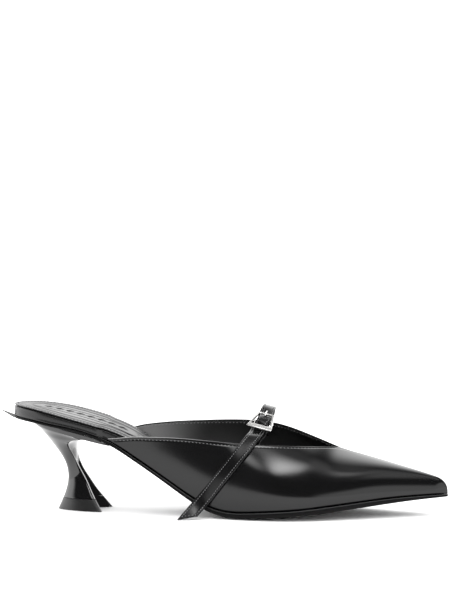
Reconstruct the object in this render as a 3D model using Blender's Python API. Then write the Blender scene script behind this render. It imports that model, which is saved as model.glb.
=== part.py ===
"""Right shoe of a pair of pointed mules: open back, waisted 55 mm heel, buckled strap over the instep.

Frame: the origin is the middle of the heel lift's floor face, +X runs to the toe, +Y to the inner
side of the foot (the wearer's left) and +Z up. Tables and sizes are in millimetres, and MM turns
them into Blender's metres. Lateral is the outer side of the foot, medial the inner side.
"""

import math

import bmesh
import bpy
import numpy as np
from mathutils import Matrix, Vector

for old in list(bpy.data.objects):
    bpy.data.objects.remove(old, do_unlink=True)

MM = 0.001
GAP = 0.3  # clearance between neighbouring pieces
LATERAL, MEDIAL = -1, 1

SEAT_BACK, TOE_TIP = -42.4, 218.2  # ends of the sole's outline
SEAT_ROUND, TOE_ROUND = 34.0, 7.0  # how far the outline takes to round off at each end
SPUR_TIP = -50.3  # end of the thin spur behind the seat
SPUR_HALF = 4.8  # half width of the spur where it leaves the seat
SPUR_TIP_HALF = 0.25
SPUR_THICK = 0.5
SPUR_SLOPE = math.tan(math.radians(24.5))

WALL = 1.3  # leather and lining of the upper
FEATHER = 1.0  # the upper's foot stands this far inside the sole's edge
TOE_INSET, TOE_NOSE = 0.2, 8.4  # the same at the toe's tip, and how long its blunt nose is
TOE_FULL, TOE_WALL = 190.0, 3.4  # the wall thickens from here to this much at the tip
RAND_INSET = 0.35  # the footbed's side stands this far inside the sole's edge behind the upper
INNER_INSET = FEATHER + WALL + 0.5  # and this far between the upper's walls
UPPER_BACK = 19.5  # where the sides of the upper start
THROAT = 154.5  # where both toplines meet

LIFT_HEIGHT = 6.9
CUP_RISE = 42.0  # above this the heel opens into the cup that carries the sole
ROOF_STEP = 0.9  # the cup's levels keep this share of their spacing below the sole
HEEL_TURN = math.radians(-6.0)  # the heel stands on the seat's own centre line

STRAP_WIDTH, STRAP_THICK = 8.0, 1.6
CHAPE_THICK = 0.8  # the short strap that holds the buckle


# ---------------------------------------------------------------- tables and curves


def table(columns, rows):
    """Rows as named columns; each column becomes a natural cubic spline over the first one."""
    data = np.array(rows, float).T
    knots, steps = data[0], np.diff(data[0])
    system = np.eye(len(knots))
    for i in range(1, len(knots) - 1):
        system[i, i - 1 : i + 2] = steps[i - 1] / 6, (steps[i - 1] + steps[i]) / 3, steps[i] / 6
    splines = {}
    for name, values in zip(columns.split()[1:], data[1:]):
        kinks = np.diff(np.diff(values) / steps)
        splines[name] = knots, values, np.linalg.solve(system, np.r_[0.0, kinks, 0.0])
    return splines


def at(splines, name, x):
    """The column's value at x, held level beyond the first and last rows."""
    knots, values, bends = splines[name]
    x = np.clip(x, knots[0], knots[-1])
    i = np.clip(np.searchsorted(knots, x) - 1, 0, len(knots) - 2)
    step = knots[i + 1] - knots[i]
    a = (knots[i + 1] - x) / step
    b = 1 - a
    bow = ((a**3 - a) * bends[i] + (b**3 - b) * bends[i + 1]) * step**2 / 6
    return a * values[i] + b * values[i + 1] + bow


# The sole from above: its middle line and half its width, before the ends are rounded off.
PLAN = table(
    "x middle half",
    [
        (-42, 4.6, 25.4),
        (-20, 2.6, 25.5),
        (0, 0.5, 25.4),
        (15, -1.5, 24.1),
        (30, -3.4, 21.6),
        (45, -5.3, 19.8),
        (60, -6.9, 19.7),
        (75, -7.7, 22.3),
        (90, -7.0, 27.0),
        (105, -5.3, 32.2),
        (120, -3.5, 35.4),
        (135, -2.0, 35.4),
        (150, -0.9, 32.0),
        (165, -0.2, 26.3),
        (180, 0.4, 19.4),
        (195, 1.0, 12.4),
        (207, 1.4, 7.2),
        (218, 1.8, 3.0),
    ],
)

# The outsole: height of its underside along the edge, how far the underside hangs lower in the
# middle, and its thickness at the edge.
SOLE = table(
    "x edge crown thick",
    [
        (-42, 54.5, 0.0, 1.5),
        (-28, 53.3, 0.0, 1.5),
        (-14, 51.1, 0.0, 1.5),
        (0, 48.5, 0.1, 1.6),
        (11, 45.3, 0.3, 1.6),
        (22, 40.4, 0.6, 1.7),
        (34, 32.8, 0.9, 1.8),
        (50, 22.1, 1.2, 1.9),
        (62, 14.0, 1.4, 2.1),
        (72, 7.9, 1.5, 2.3),
        (82, 3.3, 1.6, 2.5),
        (92, 1.3, 1.8, 2.6),
        (105, 1.4, 2.0, 2.7),
        (120, 2.3, 1.9, 2.8),
        (135, 3.3, 1.6, 2.9),
        (150, 4.8, 1.2, 3.0),
        (168, 6.8, 0.9, 2.9),
        (186, 8.7, 0.6, 2.6),
        (203, 10.2, 0.4, 1.8),
        (218, 11.2, 0.2, 1.2),
    ],
)

# The footbed's top along its middle, and how much its medial edge stands above its lateral edge.
FOOTBED = table(
    "x top tilt",
    [
        (-42, 62.4, 0.0),
        (-30, 61.6, 0.1),
        (-18, 59.8, 0.4),
        (-5, 57.1, 0.8),
        (8, 53.9, 0.9),
        (20, 50.3, 1.0),
        (30, 46.2, 1.1),
        (40, 40.8, 1.1),
        (52, 32.6, 1.0),
        (64, 23.6, 0.8),
        (76, 15.2, 0.5),
        (88, 9.4, 0.2),
        (100, 7.4, 0.0),
        (120, 8.1, 0.0),
        (145, 9.9, 0.0),
        (175, 12.9, 0.0),
        (212, 15.2, 0.0),
    ],
)

# The two toplines behind the throat, and the ridge of the vamp ahead of it.
LATERAL_TOP = table(
    "x y z",
    [
        (18, -24.7, 44.9),
        (24, -24.4, 45.2),
        (32, -24.4, 46.0),
        (45, -24.4, 46.2),
        (60, -25.1, 46.0),
        (75, -26.7, 45.2),
        (90, -27.9, 44.2),
        (105, -27.3, 43.3),
        (120, -23.6, 42.4),
        (132, -17.9, 41.6),
        (143.5, -10.0, 40.7),
        (154.5, 0.6, 39.4),
    ],
)
MEDIAL_TOP = table(
    "x y z",
    [
        (18, 20.6, 45.2),
        (24, 19.4, 46.2),
        (31, 18.4, 48.3),
        (38, 18.6, 49.6),
        (46, 20.2, 50.4),
        (56, 23.0, 51.0),
        (68, 26.4, 51.3),
        (80, 28.7, 51.6),
        (92, 29.8, 51.7),
        (104, 29.3, 51.3),
        (114, 27.3, 50.1),
        (124, 23.5, 47.9),
        (134, 17.6, 45.1),
        (144, 9.8, 42.3),
        (154.5, 0.6, 39.4),
    ],
)
RIDGE = table(
    "x y z",
    [
        (154.5, 0.6, 39.4),
        (161, 0.9, 37.4),
        (170, 1.2, 35.0),
        (180, 1.5, 32.2),
        (190, 1.7, 29.3),
        (200, 1.8, 26.4),
        (209, 1.8, 23.6),
        (218, 1.8, 20.6),
    ],
)

# How the upper's wall leans: outwards where it leaves the sole, inwards where it ends on top.
LEAN = table(
    "x lateral_foot lateral_top medial_foot medial_top fullness",
    [
        (18, 3, -1, 4, -6, 0.34),
        (30, 8, 0, 10, -8, 0.34),
        (45, 10, 2, 17, -6, 0.34),
        (60, 9, 6, 22, 0, 0.35),
        (75, 7, 12, 22, 10, 0.36),
        (90, 7, 22, 18, 24, 0.37),
        (105, 8, 36, 14, 38, 0.38),
        (120, 8, 50, 11, 52, 0.39),
        (135, 9, 62, 10, 65, 0.40),
        (150, 11, 71, 11, 72, 0.40),
        (160, 12, 77, 12, 77, 0.40),
        (180, 11, 84, 11, 84, 0.40),
        (200, 8, 85, 8, 85, 0.39),
        (218, 3, 84, 3, 84, 0.38),
    ],
)

# The heel from the floor up. Each section is a U, open to the front: how high and how far back
# its rounded back stands, where its two wing tips are, half its width there, and how deep the
# hollow between the wings goes. At the waist the front has no hollow and bulges a little.
WING_EDGE = 2.2  # the wings' blunt front edge
HEEL = table(
    "rise back wing wing_rise half hollow",
    [
        (0.0, -15.0, 15.0, 0.0, 12.9, 9.0),
        (7.0, -12.0, 10.1, 7.0, 10.0, 8.2),
        (12.0, -10.3, 6.8, 12.0, 7.6, 6.8),
        (17.4, -9.2, 3.7, 17.4, 5.7, 5.0),
        (22.4, -9.3, 0.6, 22.4, 4.8, 3.0),
        (28.5, -11.1, -2.7, 28.5, 4.9, 0.6),
        (34.0, -14.4, -4.7, 33.9, 7.1, -0.6),
        (39.2, -18.3, -5.6, 38.8, 11.2, -0.7),
        (42.6, -20.9, -4.6, 41.1, 14.3, -0.3),
        (45.0, -22.9, -2.3, 42.4, 16.6, 0.8),
        (47.2, -25.0, 2.6, 43.3, 18.8, 2.6),
        (49.0, -26.9, 7.8, 43.6, 20.8, 4.6),
        (50.4, -28.6, 13.0, 43.1, 22.4, 6.6),
        (51.4, -29.8, 18.0, 42.1, 23.5, 8.2),
        (52.1, -30.8, 23.0, 40.5, 24.2, 9.4),
    ],
)

# The buckle lies flat on the instep. Its own axes are across the strap, up the strap towards the
# medial side, and outwards; up is given as a direction and face as an angle (see face_direction).
BUCKLE_AT = (110.1, -14.6, 55.7)
BUCKLE_UP = (0.30, 0.70, 0.64)
BUCKLE_FACE = 46
BUCKLE_LOW_HALF, BUCKLE_HIGH_HALF, BUCKLE_LONG = 7.8, 5.1, 12.0
BUCKLE_LOW_BAR, BUCKLE_SIDE_BAR, BUCKLE_HIGH_BAR, BUCKLE_DEEP = 2.6, 1.2, 0.8, 1.4
BUCKLE_BEVEL = 0.3
BAR_RADIUS, BAR_SUNK = 0.6, -3.2  # the bar that carries the short strap and the prong
LUG_HALF, LUG_BELOW, LUG_TOP = 0.95, 0.8, -0.3  # the lugs that hold this bar under the frame
PRONG_RADIUS = 0.5
PRONG_HOLE_RADIUS, PRONG_HOLE_UP = 1.1, 4.3
SLOT_LOW, SLOT_HIGH = (-1.1, -2.5, BAR_SUNK - 2.6), (1.1, 3.0, BAR_SUNK + 2.2)

# The long strap from inside the medial side over the instep, as its middle line. Face is the
# direction its outer side looks in across the shoe: 0 lateral, 90 up, 180 medial.
STRAP_OVER = [
    # x, y, z, face
    (104.6, 28.2, 42.5, 184),
    (105.2, 27.4, 48.5, 178),
    (106.9, 24.6, 54.2, 158),
    (109.7, 17.4, 59.8, 126),
    (111.7, 8.3, 62.1, 103),
    (112.3, -1.0, 61.9, 82),
]
STRAP_NOD = 14.0  # over the instep the strap leans towards the toe by this many degrees
# Its way through the buckle in the buckle's own axes: under the frame's high bar, over the sunken
# bar and under the low bar.
STRAP_WEAVE = [
    # across, up, out
    (0, 5.6, -2.1),
    (0, 0.2, -0.3),
    (-1.0, -4.9, -2.5),
]
STRAP_DOWN = [
    (105.9, -23.4, 47.8, 36),
]
STRAP_ON_WALL = [
    # x, z on the lateral wall of the upper
    (101.2, 40.8),
    (96.8, 35.2),
    (92.4, 29.5),
    (87.6, 23.6),
    (82.0, 16.5),
]
STRAP_TAIL = [
    # x, y, z, face, off the wall and down to just above the floor
    (75.9, -33.2, 9.5, 4),
    (72.3, -36.0, 5.3, 18),
    (69.3, -39.2, 1.8, 30),
    (67.1, -42.8, -0.7, 38),
]
TAIL_SLANT = 9.0  # how much further the rear edge of the tail reaches

# The short strap below the buckle, tucked inside the lateral side.
CHAPE_DOWN = [
    # x, y, z, face
    (107.0, -19.3, 46.9, 40),
    (105.3, -22.5, 43.4, 28),
    (104.6, -24.4, 40.0, 14),
    (104.2, -25.6, 36.5, 10),
]


# ---------------------------------------------------------------- shared shapes of the shoe


def end_round(x, inset):
    """1 along the shoe, and down to 0 round the seat and the toe like a quarter ellipse."""
    behind = np.clip((SEAT_BACK + SEAT_ROUND - x) / (SEAT_ROUND - inset), 0, 1)
    ahead = np.clip((x - TOE_TIP + TOE_ROUND) / (TOE_ROUND - inset), 0, 1)
    return np.sqrt((1 - behind**2) * (1 - ahead**2))


def half_width(x, inset=0.0, end_inset=None):
    end_inset = inset if end_inset is None else end_inset
    return (at(PLAN, "half", x) - inset) * end_round(x, end_inset)


def sole_top(x):
    return at(SOLE, "edge", x) + at(SOLE, "thick", x)


def sole_under(x, y):
    """Height of the outsole's underside, which is cut level where the ball of the foot stands."""
    across = np.clip((y - at(PLAN, "middle", x)) / at(PLAN, "half", x), -1, 1)
    return np.maximum(at(SOLE, "edge", x) - at(SOLE, "crown", x) * (1 - across**2), 0)


def upper_ends(x, side):
    """The foot and the top of the upper's section at x, each as (y, z)."""
    half = half_width(x, FEATHER, TOE_INSET)
    foot = at(PLAN, "middle", x) + side * half, sole_top(x) + GAP
    if x >= THROAT:
        ahead = np.clip((x - TOE_TIP + TOE_NOSE) / (TOE_NOSE - TOE_INSET), 0, 1)
        rise = (at(RIDGE, "z", x) - foot[1]) * (1 - ahead**3) ** (1 / 3)
        return foot, (at(RIDGE, "y", x), foot[1] + rise)
    edge = LATERAL_TOP if side == LATERAL else MEDIAL_TOP
    return foot, (at(edge, "y", x), at(edge, "z", x))


def upper_section(x, side, u, depth=0.0):
    """Point at u, from 0 on the sole to 1 on top, on or inside the upper's outer face: a Bezier."""
    foot, top = (np.array(end) for end in upper_ends(x, side))
    name = "lateral" if side == LATERAL else "medial"
    foot_lean = math.radians(at(LEAN, name + "_foot", x))
    top_lean = math.radians(at(LEAN, name + "_top", x))
    reach = at(LEAN, "fullness", x) * np.linalg.norm(top - foot)
    low = foot + reach * np.array([side * math.sin(foot_lean), math.cos(foot_lean)])
    high = top + reach * np.array([side * math.sin(top_lean), -math.cos(top_lean)])
    v = 1 - u
    y, z = v**3 * foot + 3 * v**2 * u * low + 3 * v * u**2 * high + u**3 * top
    if depth == 0 or (x >= THROAT and u == 1):
        return x, y, z - depth
    run = v**2 * (low - foot) + 2 * v * u * (high - low) + u**2 * (top - high)
    run /= np.linalg.norm(run)
    return x, y - side * depth * run[1], z + side * depth * run[0]


def wall_y(x, z):
    """How far out the lateral wall of the upper stands at height z."""
    section = np.array([upper_section(x, LATERAL, u) for u in np.linspace(0, 1, 60)])
    return np.interp(z, section[:, 2], section[:, 1])


def on_wall(x, z, stand_off):
    """Point at a distance outside the lateral wall, and the wall's own outward direction."""
    step = 0.5
    run = (wall_y(x + step, z) - wall_y(x - step, z)) / (2 * step)
    climb = (wall_y(x, z + step) - wall_y(x, z - step)) / (2 * step)
    out = np.array([run, -1.0, climb])
    out /= np.linalg.norm(out)
    return np.array([x, wall_y(x, z), z]) + stand_off * out, out


def face_direction(degrees, nod=0.0):
    """Outwards across the shoe: 0 lateral, 90 up, 180 medial; what looks up nods to the toe."""
    angle, tilt = math.radians(degrees), math.radians(nod)
    return np.array([math.sin(angle) * math.sin(tilt), -math.cos(angle), math.sin(angle) * math.cos(tilt)])


def eased(start, end, count):
    """Stations that crowd towards both ends, where a rounded outline turns fastest."""
    return start + (end - start) * (1 - np.cos(np.linspace(0, math.pi, count))) / 2


# ---------------------------------------------------------------- objects


def material(name, colour, roughness, metallic=0.0):
    finish = bpy.data.materials.new(name)
    finish.use_nodes = True
    shader = finish.node_tree.nodes["Principled BSDF"]
    shader.inputs["Base Color"].default_value = (*colour, 1.0)
    shader.inputs["Roughness"].default_value = roughness
    shader.inputs["Metallic"].default_value = metallic
    return finish


def solid(name, points, faces, finish):
    """A named object from points in millimetres and faces that look outwards."""
    mesh = bpy.data.meshes.new(name)
    mesh.from_pydata([Vector(p) * MM for p in points], [], faces)
    mesh.materials.append(finish)
    mesh.shade_smooth()
    mesh.set_sharp_from_angle(angle=math.radians(40))
    piece = bpy.data.objects.new(name, mesh)
    bpy.context.scene.collection.objects.link(piece)
    return piece


def plate(name, stations, lanes, half, under, over, finish):
    """A closed slab along the shoe: for each station, lanes across from side to side."""
    rows, width = len(stations), len(lanes)
    points = []
    for height in (under, over):
        for x in stations:
            for lane in lanes:
                y = at(PLAN, "middle", x) + lane * half(x)
                points.append((x, y, height(x, y, lane)))
    low = [[i * width + j for j in range(width)] for i in range(rows)]
    high = [[rows * width + k for k in row] for row in low]
    faces = []
    for i in range(rows - 1):
        for j in range(width - 1):
            faces.append((low[i][j], low[i][j + 1], low[i + 1][j + 1], low[i + 1][j]))
            faces.append((high[i][j], high[i + 1][j], high[i + 1][j + 1], high[i][j + 1]))
        faces.append((low[i][0], low[i + 1][0], high[i + 1][0], high[i][0]))
        faces.append((low[i + 1][-1], low[i][-1], high[i][-1], high[i + 1][-1]))
    for j in range(width - 1):
        faces.append((low[0][j + 1], low[0][j], high[0][j], high[0][j + 1]))
        faces.append((low[-1][j], low[-1][j + 1], high[-1][j + 1], high[-1][j]))
    return solid(name, points, faces, finish)


def outsole(finish):
    """Thin leather sole with the spur that runs out behind the seat."""
    reach = SEAT_BACK - SPUR_TIP

    def spur(x):
        return np.clip((SEAT_BACK - x) / reach, 0, 1)

    def half(x):
        taper = SPUR_HALF + (SPUR_TIP_HALF - SPUR_HALF) * spur(x)
        return max(half_width(x), taper if x < SEAT_BACK + 1 else 0)

    def under(x, y, lane):
        return sole_under(x, y) + SPUR_SLOPE * reach * spur(x)

    def over(x, y, lane):
        thin = min(spur(x) * 4, 1)
        thick = at(SOLE, "thick", x) * (1 - thin) + SPUR_THICK * thin
        return at(SOLE, "edge", x) + SPUR_SLOPE * reach * spur(x) + thick

    short_of_tip = 0.02
    body = eased(SEAT_BACK + 0.6, TOE_TIP - short_of_tip, 54)
    stations = [*np.linspace(SPUR_TIP, SEAT_BACK, 5), *body]
    return plate("outsole", stations, np.linspace(-1, 1, 8), half, under, over, finish)


def footbed(finish):
    """Leather-covered insole: a full-width platform at the seat, narrower inside the upper."""
    narrow_from, narrow_over = UPPER_BACK - 7.5, 5
    toe_inset = TOE_INSET + TOE_WALL + 2 * GAP

    def inset(x):
        inside = np.clip((x - narrow_from) / narrow_over, 0, 1)
        return RAND_INSET + (INNER_INSET - RAND_INSET) * inside * inside * (3 - 2 * inside)

    def half(x):
        return half_width(x, inset(x), RAND_INSET if x < UPPER_BACK else toe_inset)

    def under(x, y, lane):
        return sole_top(x) + GAP

    def over(x, y, lane):
        return at(FOOTBED, "top", x) + at(FOOTBED, "tilt", x) * lane

    short_of_tip = 0.05
    back, front = SEAT_BACK + RAND_INSET + short_of_tip, TOE_TIP - toe_inset - short_of_tip
    stations = eased(back, front, 46)
    return plate("footbed", stations, np.linspace(-1, 1, 8), half, under, over, finish)


def upper(finish):
    """Hollow upper: two sides that start low behind the arch and close over the toe."""
    behind = np.linspace(UPPER_BACK, THROAT, 30)
    ahead = THROAT + (TOE_TIP - TOE_INSET - THROAT) * np.sin(np.linspace(0, math.pi / 2, 21))[1:]
    lanes = np.linspace(0, 1, 11)
    last, top, throat = len(behind) + len(ahead) - 1, len(lanes) - 1, len(behind) - 1
    mesh = bmesh.new()
    grid = {}
    for skin, depth in enumerate((0.0, WALL)):
        for i, x in enumerate([*behind, *ahead]):
            if skin and x > TOE_FULL:
                x = TOE_FULL + (x - TOE_FULL) * (1 - TOE_WALL / (TOE_TIP - TOE_INSET - TOE_FULL))
            for side in (LATERAL, MEDIAL):
                for j, u in enumerate(lanes):
                    tip = i == last and not skin
                    joined = side == MEDIAL and (tip or (j == top and i >= throat))
                    if joined:
                        grid[skin, i, side, j] = grid[skin, i, LATERAL, j]
                    elif tip and j > 0:
                        grid[skin, i, side, j] = grid[skin, i, side, 0]
                    else:
                        place = Vector(upper_section(x, side, u, depth)) * MM
                        grid[skin, i, side, j] = mesh.verts.new(place)

    def face(*keys):
        mesh.faces.new(list(dict.fromkeys(grid[key] for key in keys)))

    for side in (LATERAL, MEDIAL):
        for i in range(last):
            for j in range(top):
                for skin in (0, 1):
                    corners = (i, j), (i + 1, j), (i + 1, j + 1), (i, j + 1)
                    face(*((skin, a, side, b) for a, b in corners))
            for j in (0, top) if i < throat else (0,):
                face((0, i, side, j), (0, i + 1, side, j), (1, i + 1, side, j), (1, i, side, j))
        for j in range(top):
            face((0, 0, side, j), (0, 0, side, j + 1), (1, 0, side, j + 1), (1, 0, side, j))
    face(*((1, last, LATERAL, j) for j in range(top)), *((1, last, MEDIAL, j) for j in range(top, -1, -1)))
    face((0, last, LATERAL, 0), (1, last, LATERAL, 0), (1, last, MEDIAL, 0))
    bmesh.ops.recalc_face_normals(mesh, faces=mesh.faces)
    data = bpy.data.meshes.new("upper")
    mesh.to_mesh(data)
    mesh.free()
    data.materials.append(finish)
    data.shade_smooth()
    data.set_sharp_from_angle(angle=math.radians(40))
    piece = bpy.data.objects.new("upper", data)
    bpy.context.scene.collection.objects.link(piece)
    return piece


def heel_ring(rise, bays):
    """One section of the heel: points round its back, then along its front, both wing to wing."""
    wing, back = at(HEEL, "wing", rise), at(HEEL, "back", rise)
    half, hollow = at(HEEL, "half", rise), at(HEEL, "hollow", rise)
    wing_rise = at(HEEL, "wing_rise", rise)
    outer, inner = [], []
    for angle in np.linspace(-math.pi / 2, math.pi / 2, bays + 1):
        round_back = (outer, half, (wing - back) * math.cos(angle))
        along_front = (inner, half - WING_EDGE, hollow * math.cos(angle) ** 2)
        for side, wide, depth in (round_back, along_front):
            z = wing_rise + (rise - wing_rise) * depth / (wing - back)
            side.append((wing - depth, wide * math.sin(angle), z))
    turn = Matrix.Rotation(HEEL_TURN, 3, "Z")
    return [turn @ Vector(p) for p in outer], [turn @ Vector(p) for p in inner]


def heel_block(name, rises, under_sole, finish):
    """A stretch of the heel between two levels; under_sole fits its top to the outsole."""
    bays = 22
    rings = []
    for rise in rises:
        outer, inner = heel_ring(rise, bays)
        rings.append([*outer, *inner[::-1]])
        for p in rings[-1] if under_sole and rise > CUP_RISE else ():
            roof = sole_under(p.x, p.y) - GAP - ROOF_STEP * (rises[-1] - rise)
            p.z = roof if rise == rises[-1] else min(p.z, roof)
    count = len(rings[0])
    points = [p for ring in rings for p in ring]
    faces = []
    for r in range(len(rings) - 1):
        for k in range(count):
            a, b = r * count + k, r * count + (k + 1) % count
            faces.append((a, a + count, b + count, b))
    top = (len(rings) - 1) * count
    for base, flip in ((0, 1), (top, -1)):
        for k in range(bays):
            cap = (base + k, base + k + 1, base + count - 2 - k, base + count - 1 - k)
            faces.append(cap[::flip])
    return solid(name, points, faces, finish)


def route_table(rows):
    """A route's rows (x, y, z, outward direction) as splines over the length run so far."""
    places = np.array([row[0] for row in rows], float)
    runs = np.r_[0.0, np.cumsum(np.linalg.norm(np.diff(places, axis=0), axis=1))]
    data = [(run, *place, *out) for run, place, (_, out) in zip(runs, places, rows)]
    return table("run x y z out_x out_y out_z", data), runs[-1]


def route_frame(route, run):
    """Middle, direction along, outward and across of a strap at a run."""
    def place(r):
        return np.array([at(route, name, r) for name in ("x", "y", "z")])

    middle = place(run)
    along = place(run + 0.2) - place(run - 0.2)
    along /= np.linalg.norm(along)
    out = np.array([at(route, name, run) for name in ("out_x", "out_y", "out_z")])
    out -= along * (out @ along)
    out /= np.linalg.norm(out)
    return middle, along, out, np.cross(along, out)


def band(name, route, runs, width, thick, finish, slant=0.0):
    """A flat strap with rounded edges, swept along its route."""
    ease = min(thick * 0.3, 0.4)
    half, deep = width / 2, thick / 2
    profile = [
        (-half, -deep + ease),
        (-half, deep - ease),
        (-half + ease, deep),
        (half - ease, deep),
        (half, deep - ease),
        (half, -deep + ease),
        (half - ease, -deep),
        (-half + ease, -deep),
    ]
    slanted = 2.5 * width
    points = []
    for run in runs:
        pull = np.clip((run - runs[-1] + slanted) / slanted, 0, 1)
        for side, height in profile:
            middle, _, out, across = route_frame(route, run + slant * pull * (side / width - 0.5))
            points.append(middle + across * side + out * height)
    size, last = len(profile), (len(runs) - 1) * len(profile)
    faces = []
    for row in range(0, last, size):
        for k in range(size):
            a, b = row + k, row + (k + 1) % size
            faces.append((a, a + size, b + size, b))
    faces.append(tuple(range(size)))
    faces.append(tuple(range(last, last + size))[::-1])
    return solid(name, points, faces, finish)


def buckle_axes():
    """The buckle's place and axes: across the strap, up the strap and outwards."""
    up = Vector(BUCKLE_UP).normalized()
    out = Vector(face_direction(BUCKLE_FACE))
    out = (out - up * out.dot(up)).normalized()
    turned = Matrix((up.cross(out), up, out)).transposed().to_4x4()
    return Matrix.Translation(Vector(BUCKLE_AT)) @ turned


def on_buckle(across, up, out):
    """A point given in the buckle's axes, in the shoe's frame."""
    return np.array(buckle_axes() @ Vector((across, up, out)))


def place_on_buckle(piece):
    place = buckle_axes()
    place.translation *= MM
    piece.matrix_world = place
    return piece


def combine(piece, other, operation):
    """Join or cut with a helper that the model leaves out."""
    change = piece.modifiers.new(other.name, "BOOLEAN")
    change.operation = operation
    change.object = other
    other.hide_render = True
    other.display_type = "WIRE"
    return piece


def block(name, low, high, finish):
    """A box between two corners, with its faces looking outwards."""
    points = [(x, y, z) for x in (low[0], high[0]) for y in (low[1], high[1]) for z in (low[2], high[2])]
    faces = [(0, 1, 3, 2), (4, 6, 7, 5), (0, 4, 5, 1), (2, 3, 7, 6), (0, 2, 6, 4), (1, 5, 7, 3)]
    return solid(name, points, faces, finish)


def rod(name, start, end, radius, sides, finish):
    """A round bar between two points."""
    start, end = Vector(start), Vector(end)
    axis = (end - start).normalized()
    aside = axis.orthogonal().normalized()
    points = []
    for middle in (start, end):
        for k in range(sides):
            spoke = Matrix.Rotation(2 * math.pi * k / sides, 3, axis) @ aside
            points.append(middle + spoke * radius)
    faces = [(k, (k + 1) % sides, sides + (k + 1) % sides, sides + k) for k in range(sides)]
    faces += [tuple(range(sides))[::-1], tuple(range(sides, 2 * sides))]
    return solid(name, points, faces, finish)


def long_strap(finish):
    """Runs over the instep, through the buckle and down the outside of the upper to a free tail."""
    rows = [((x, y, z), face_direction(face, STRAP_NOD)) for x, y, z, face in STRAP_OVER]
    rows += [(on_buckle(*place), face_direction(BUCKLE_FACE)) for place in STRAP_WEAVE]
    rows += [((x, y, z), face_direction(face)) for x, y, z, face in STRAP_DOWN]
    rows += [on_wall(x, z, GAP + 0.2 + STRAP_THICK / 2) for x, z in STRAP_ON_WALL]
    rows += [((x, y, z), face_direction(face)) for x, y, z, face in STRAP_TAIL]
    route, length = route_table(rows)
    buckle_run = route_table(rows[: len(STRAP_OVER) + 2])[1]
    near, far = buckle_run - 9, buckle_run + 9
    runs = np.r_[np.linspace(0, near, 13), np.linspace(near, far, 23)[1:], np.linspace(far, length, 27)[1:]]
    piece = band("long_strap", route, runs, STRAP_WIDTH, STRAP_THICK, finish, TAIL_SLANT)
    low, high = (0, PRONG_HOLE_UP, -4), (0, PRONG_HOLE_UP, 4)
    punch = place_on_buckle(rod("prong_hole", low, high, PRONG_HOLE_RADIUS, 12, finish))
    return combine(piece, punch, "DIFFERENCE")


def short_strap(finish):
    """Folded round the buckle's sunken bar and sewn inside the lateral side; slotted for the prong."""
    turn_radius = BAR_RADIUS + GAP + CHAPE_THICK / 2
    axes = buckle_axes().to_3x3()
    rows = []
    for angle in np.linspace(math.radians(115), math.radians(-90), 10):
        up, out = math.cos(angle), math.sin(angle)
        place = on_buckle(0, turn_radius * up, BAR_SUNK + turn_radius * out)
        rows.append((place, axes @ Vector((0, up, out))))
    folded = route_table(rows)[1]
    for up, out in ((-3.0, -turn_radius), (-6.5, -turn_radius - 0.3)):
        rows.append((on_buckle(0, up, BAR_SUNK + out), axes @ Vector((0, 0, -1))))
    rows += [((x, y, z), -face_direction(face)) for x, y, z, face in CHAPE_DOWN]
    route, length = route_table(rows)
    runs = np.r_[np.linspace(0, folded, 11), np.linspace(folded, length, 16)[1:]]
    piece = band("short_strap", route, runs, STRAP_WIDTH, CHAPE_THICK, finish)
    slot = place_on_buckle(block("prong_slot", SLOT_LOW, SLOT_HIGH, finish))
    return combine(piece, slot, "DIFFERENCE")


def buckle_frame(finish):
    """Cast frame, wider at its low bar, with a sunken bar held on two lugs."""
    half_long, deep = BUCKLE_LONG / 2, BUCKLE_DEEP / 2

    def side(up):
        share = (up + half_long) / BUCKLE_LONG
        return BUCKLE_LOW_HALF + (BUCKLE_HIGH_HALF - BUCKLE_LOW_HALF) * share

    low, high = -half_long + BUCKLE_LOW_BAR, half_long - BUCKLE_HIGH_BAR
    outer = [(-side(-half_long), -half_long), (side(-half_long), -half_long)]
    outer += [(side(half_long), half_long), (-side(half_long), half_long)]
    inner = [(-side(low) + BUCKLE_SIDE_BAR, low), (side(low) - BUCKLE_SIDE_BAR, low)]
    inner += [(side(high) - BUCKLE_SIDE_BAR, high), (-side(high) + BUCKLE_SIDE_BAR, high)]
    points = [(x, y, z) for z in (-deep, deep) for ring in (outer, inner) for x, y in ring]
    faces = []
    for k in range(4):
        n = (k + 1) % 4
        faces.append((k, k + 4, n + 4, n))
        faces.append((k + 8, n + 8, n + 12, k + 12))
        faces.append((k, n, n + 8, k + 8))
        faces.append((k + 4, k + 12, n + 12, n + 4))
    frame = place_on_buckle(solid("buckle_frame", points, faces, finish))
    edges = frame.modifiers.new("edges", "BEVEL")
    edges.width = BUCKLE_BEVEL * MM
    edges.segments = 1
    reach = side(0) - 0.4
    bar = rod("sunken_bar", (-reach, 0, BAR_SUNK), (reach, 0, BAR_SUNK), BAR_RADIUS, 12, finish)
    combine(frame, place_on_buckle(bar), "UNION")
    for hand, name in ((-1, "near_lug"), (1, "far_lug")):
        across = sorted((hand * (reach - 0.9), hand * (reach + 0.15)))
        ends = (across[0], -LUG_HALF, BAR_SUNK - LUG_BELOW), (across[1], LUG_HALF, LUG_TOP)
        combine(frame, place_on_buckle(block(name, *ends, finish)), "UNION")
    return frame


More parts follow.
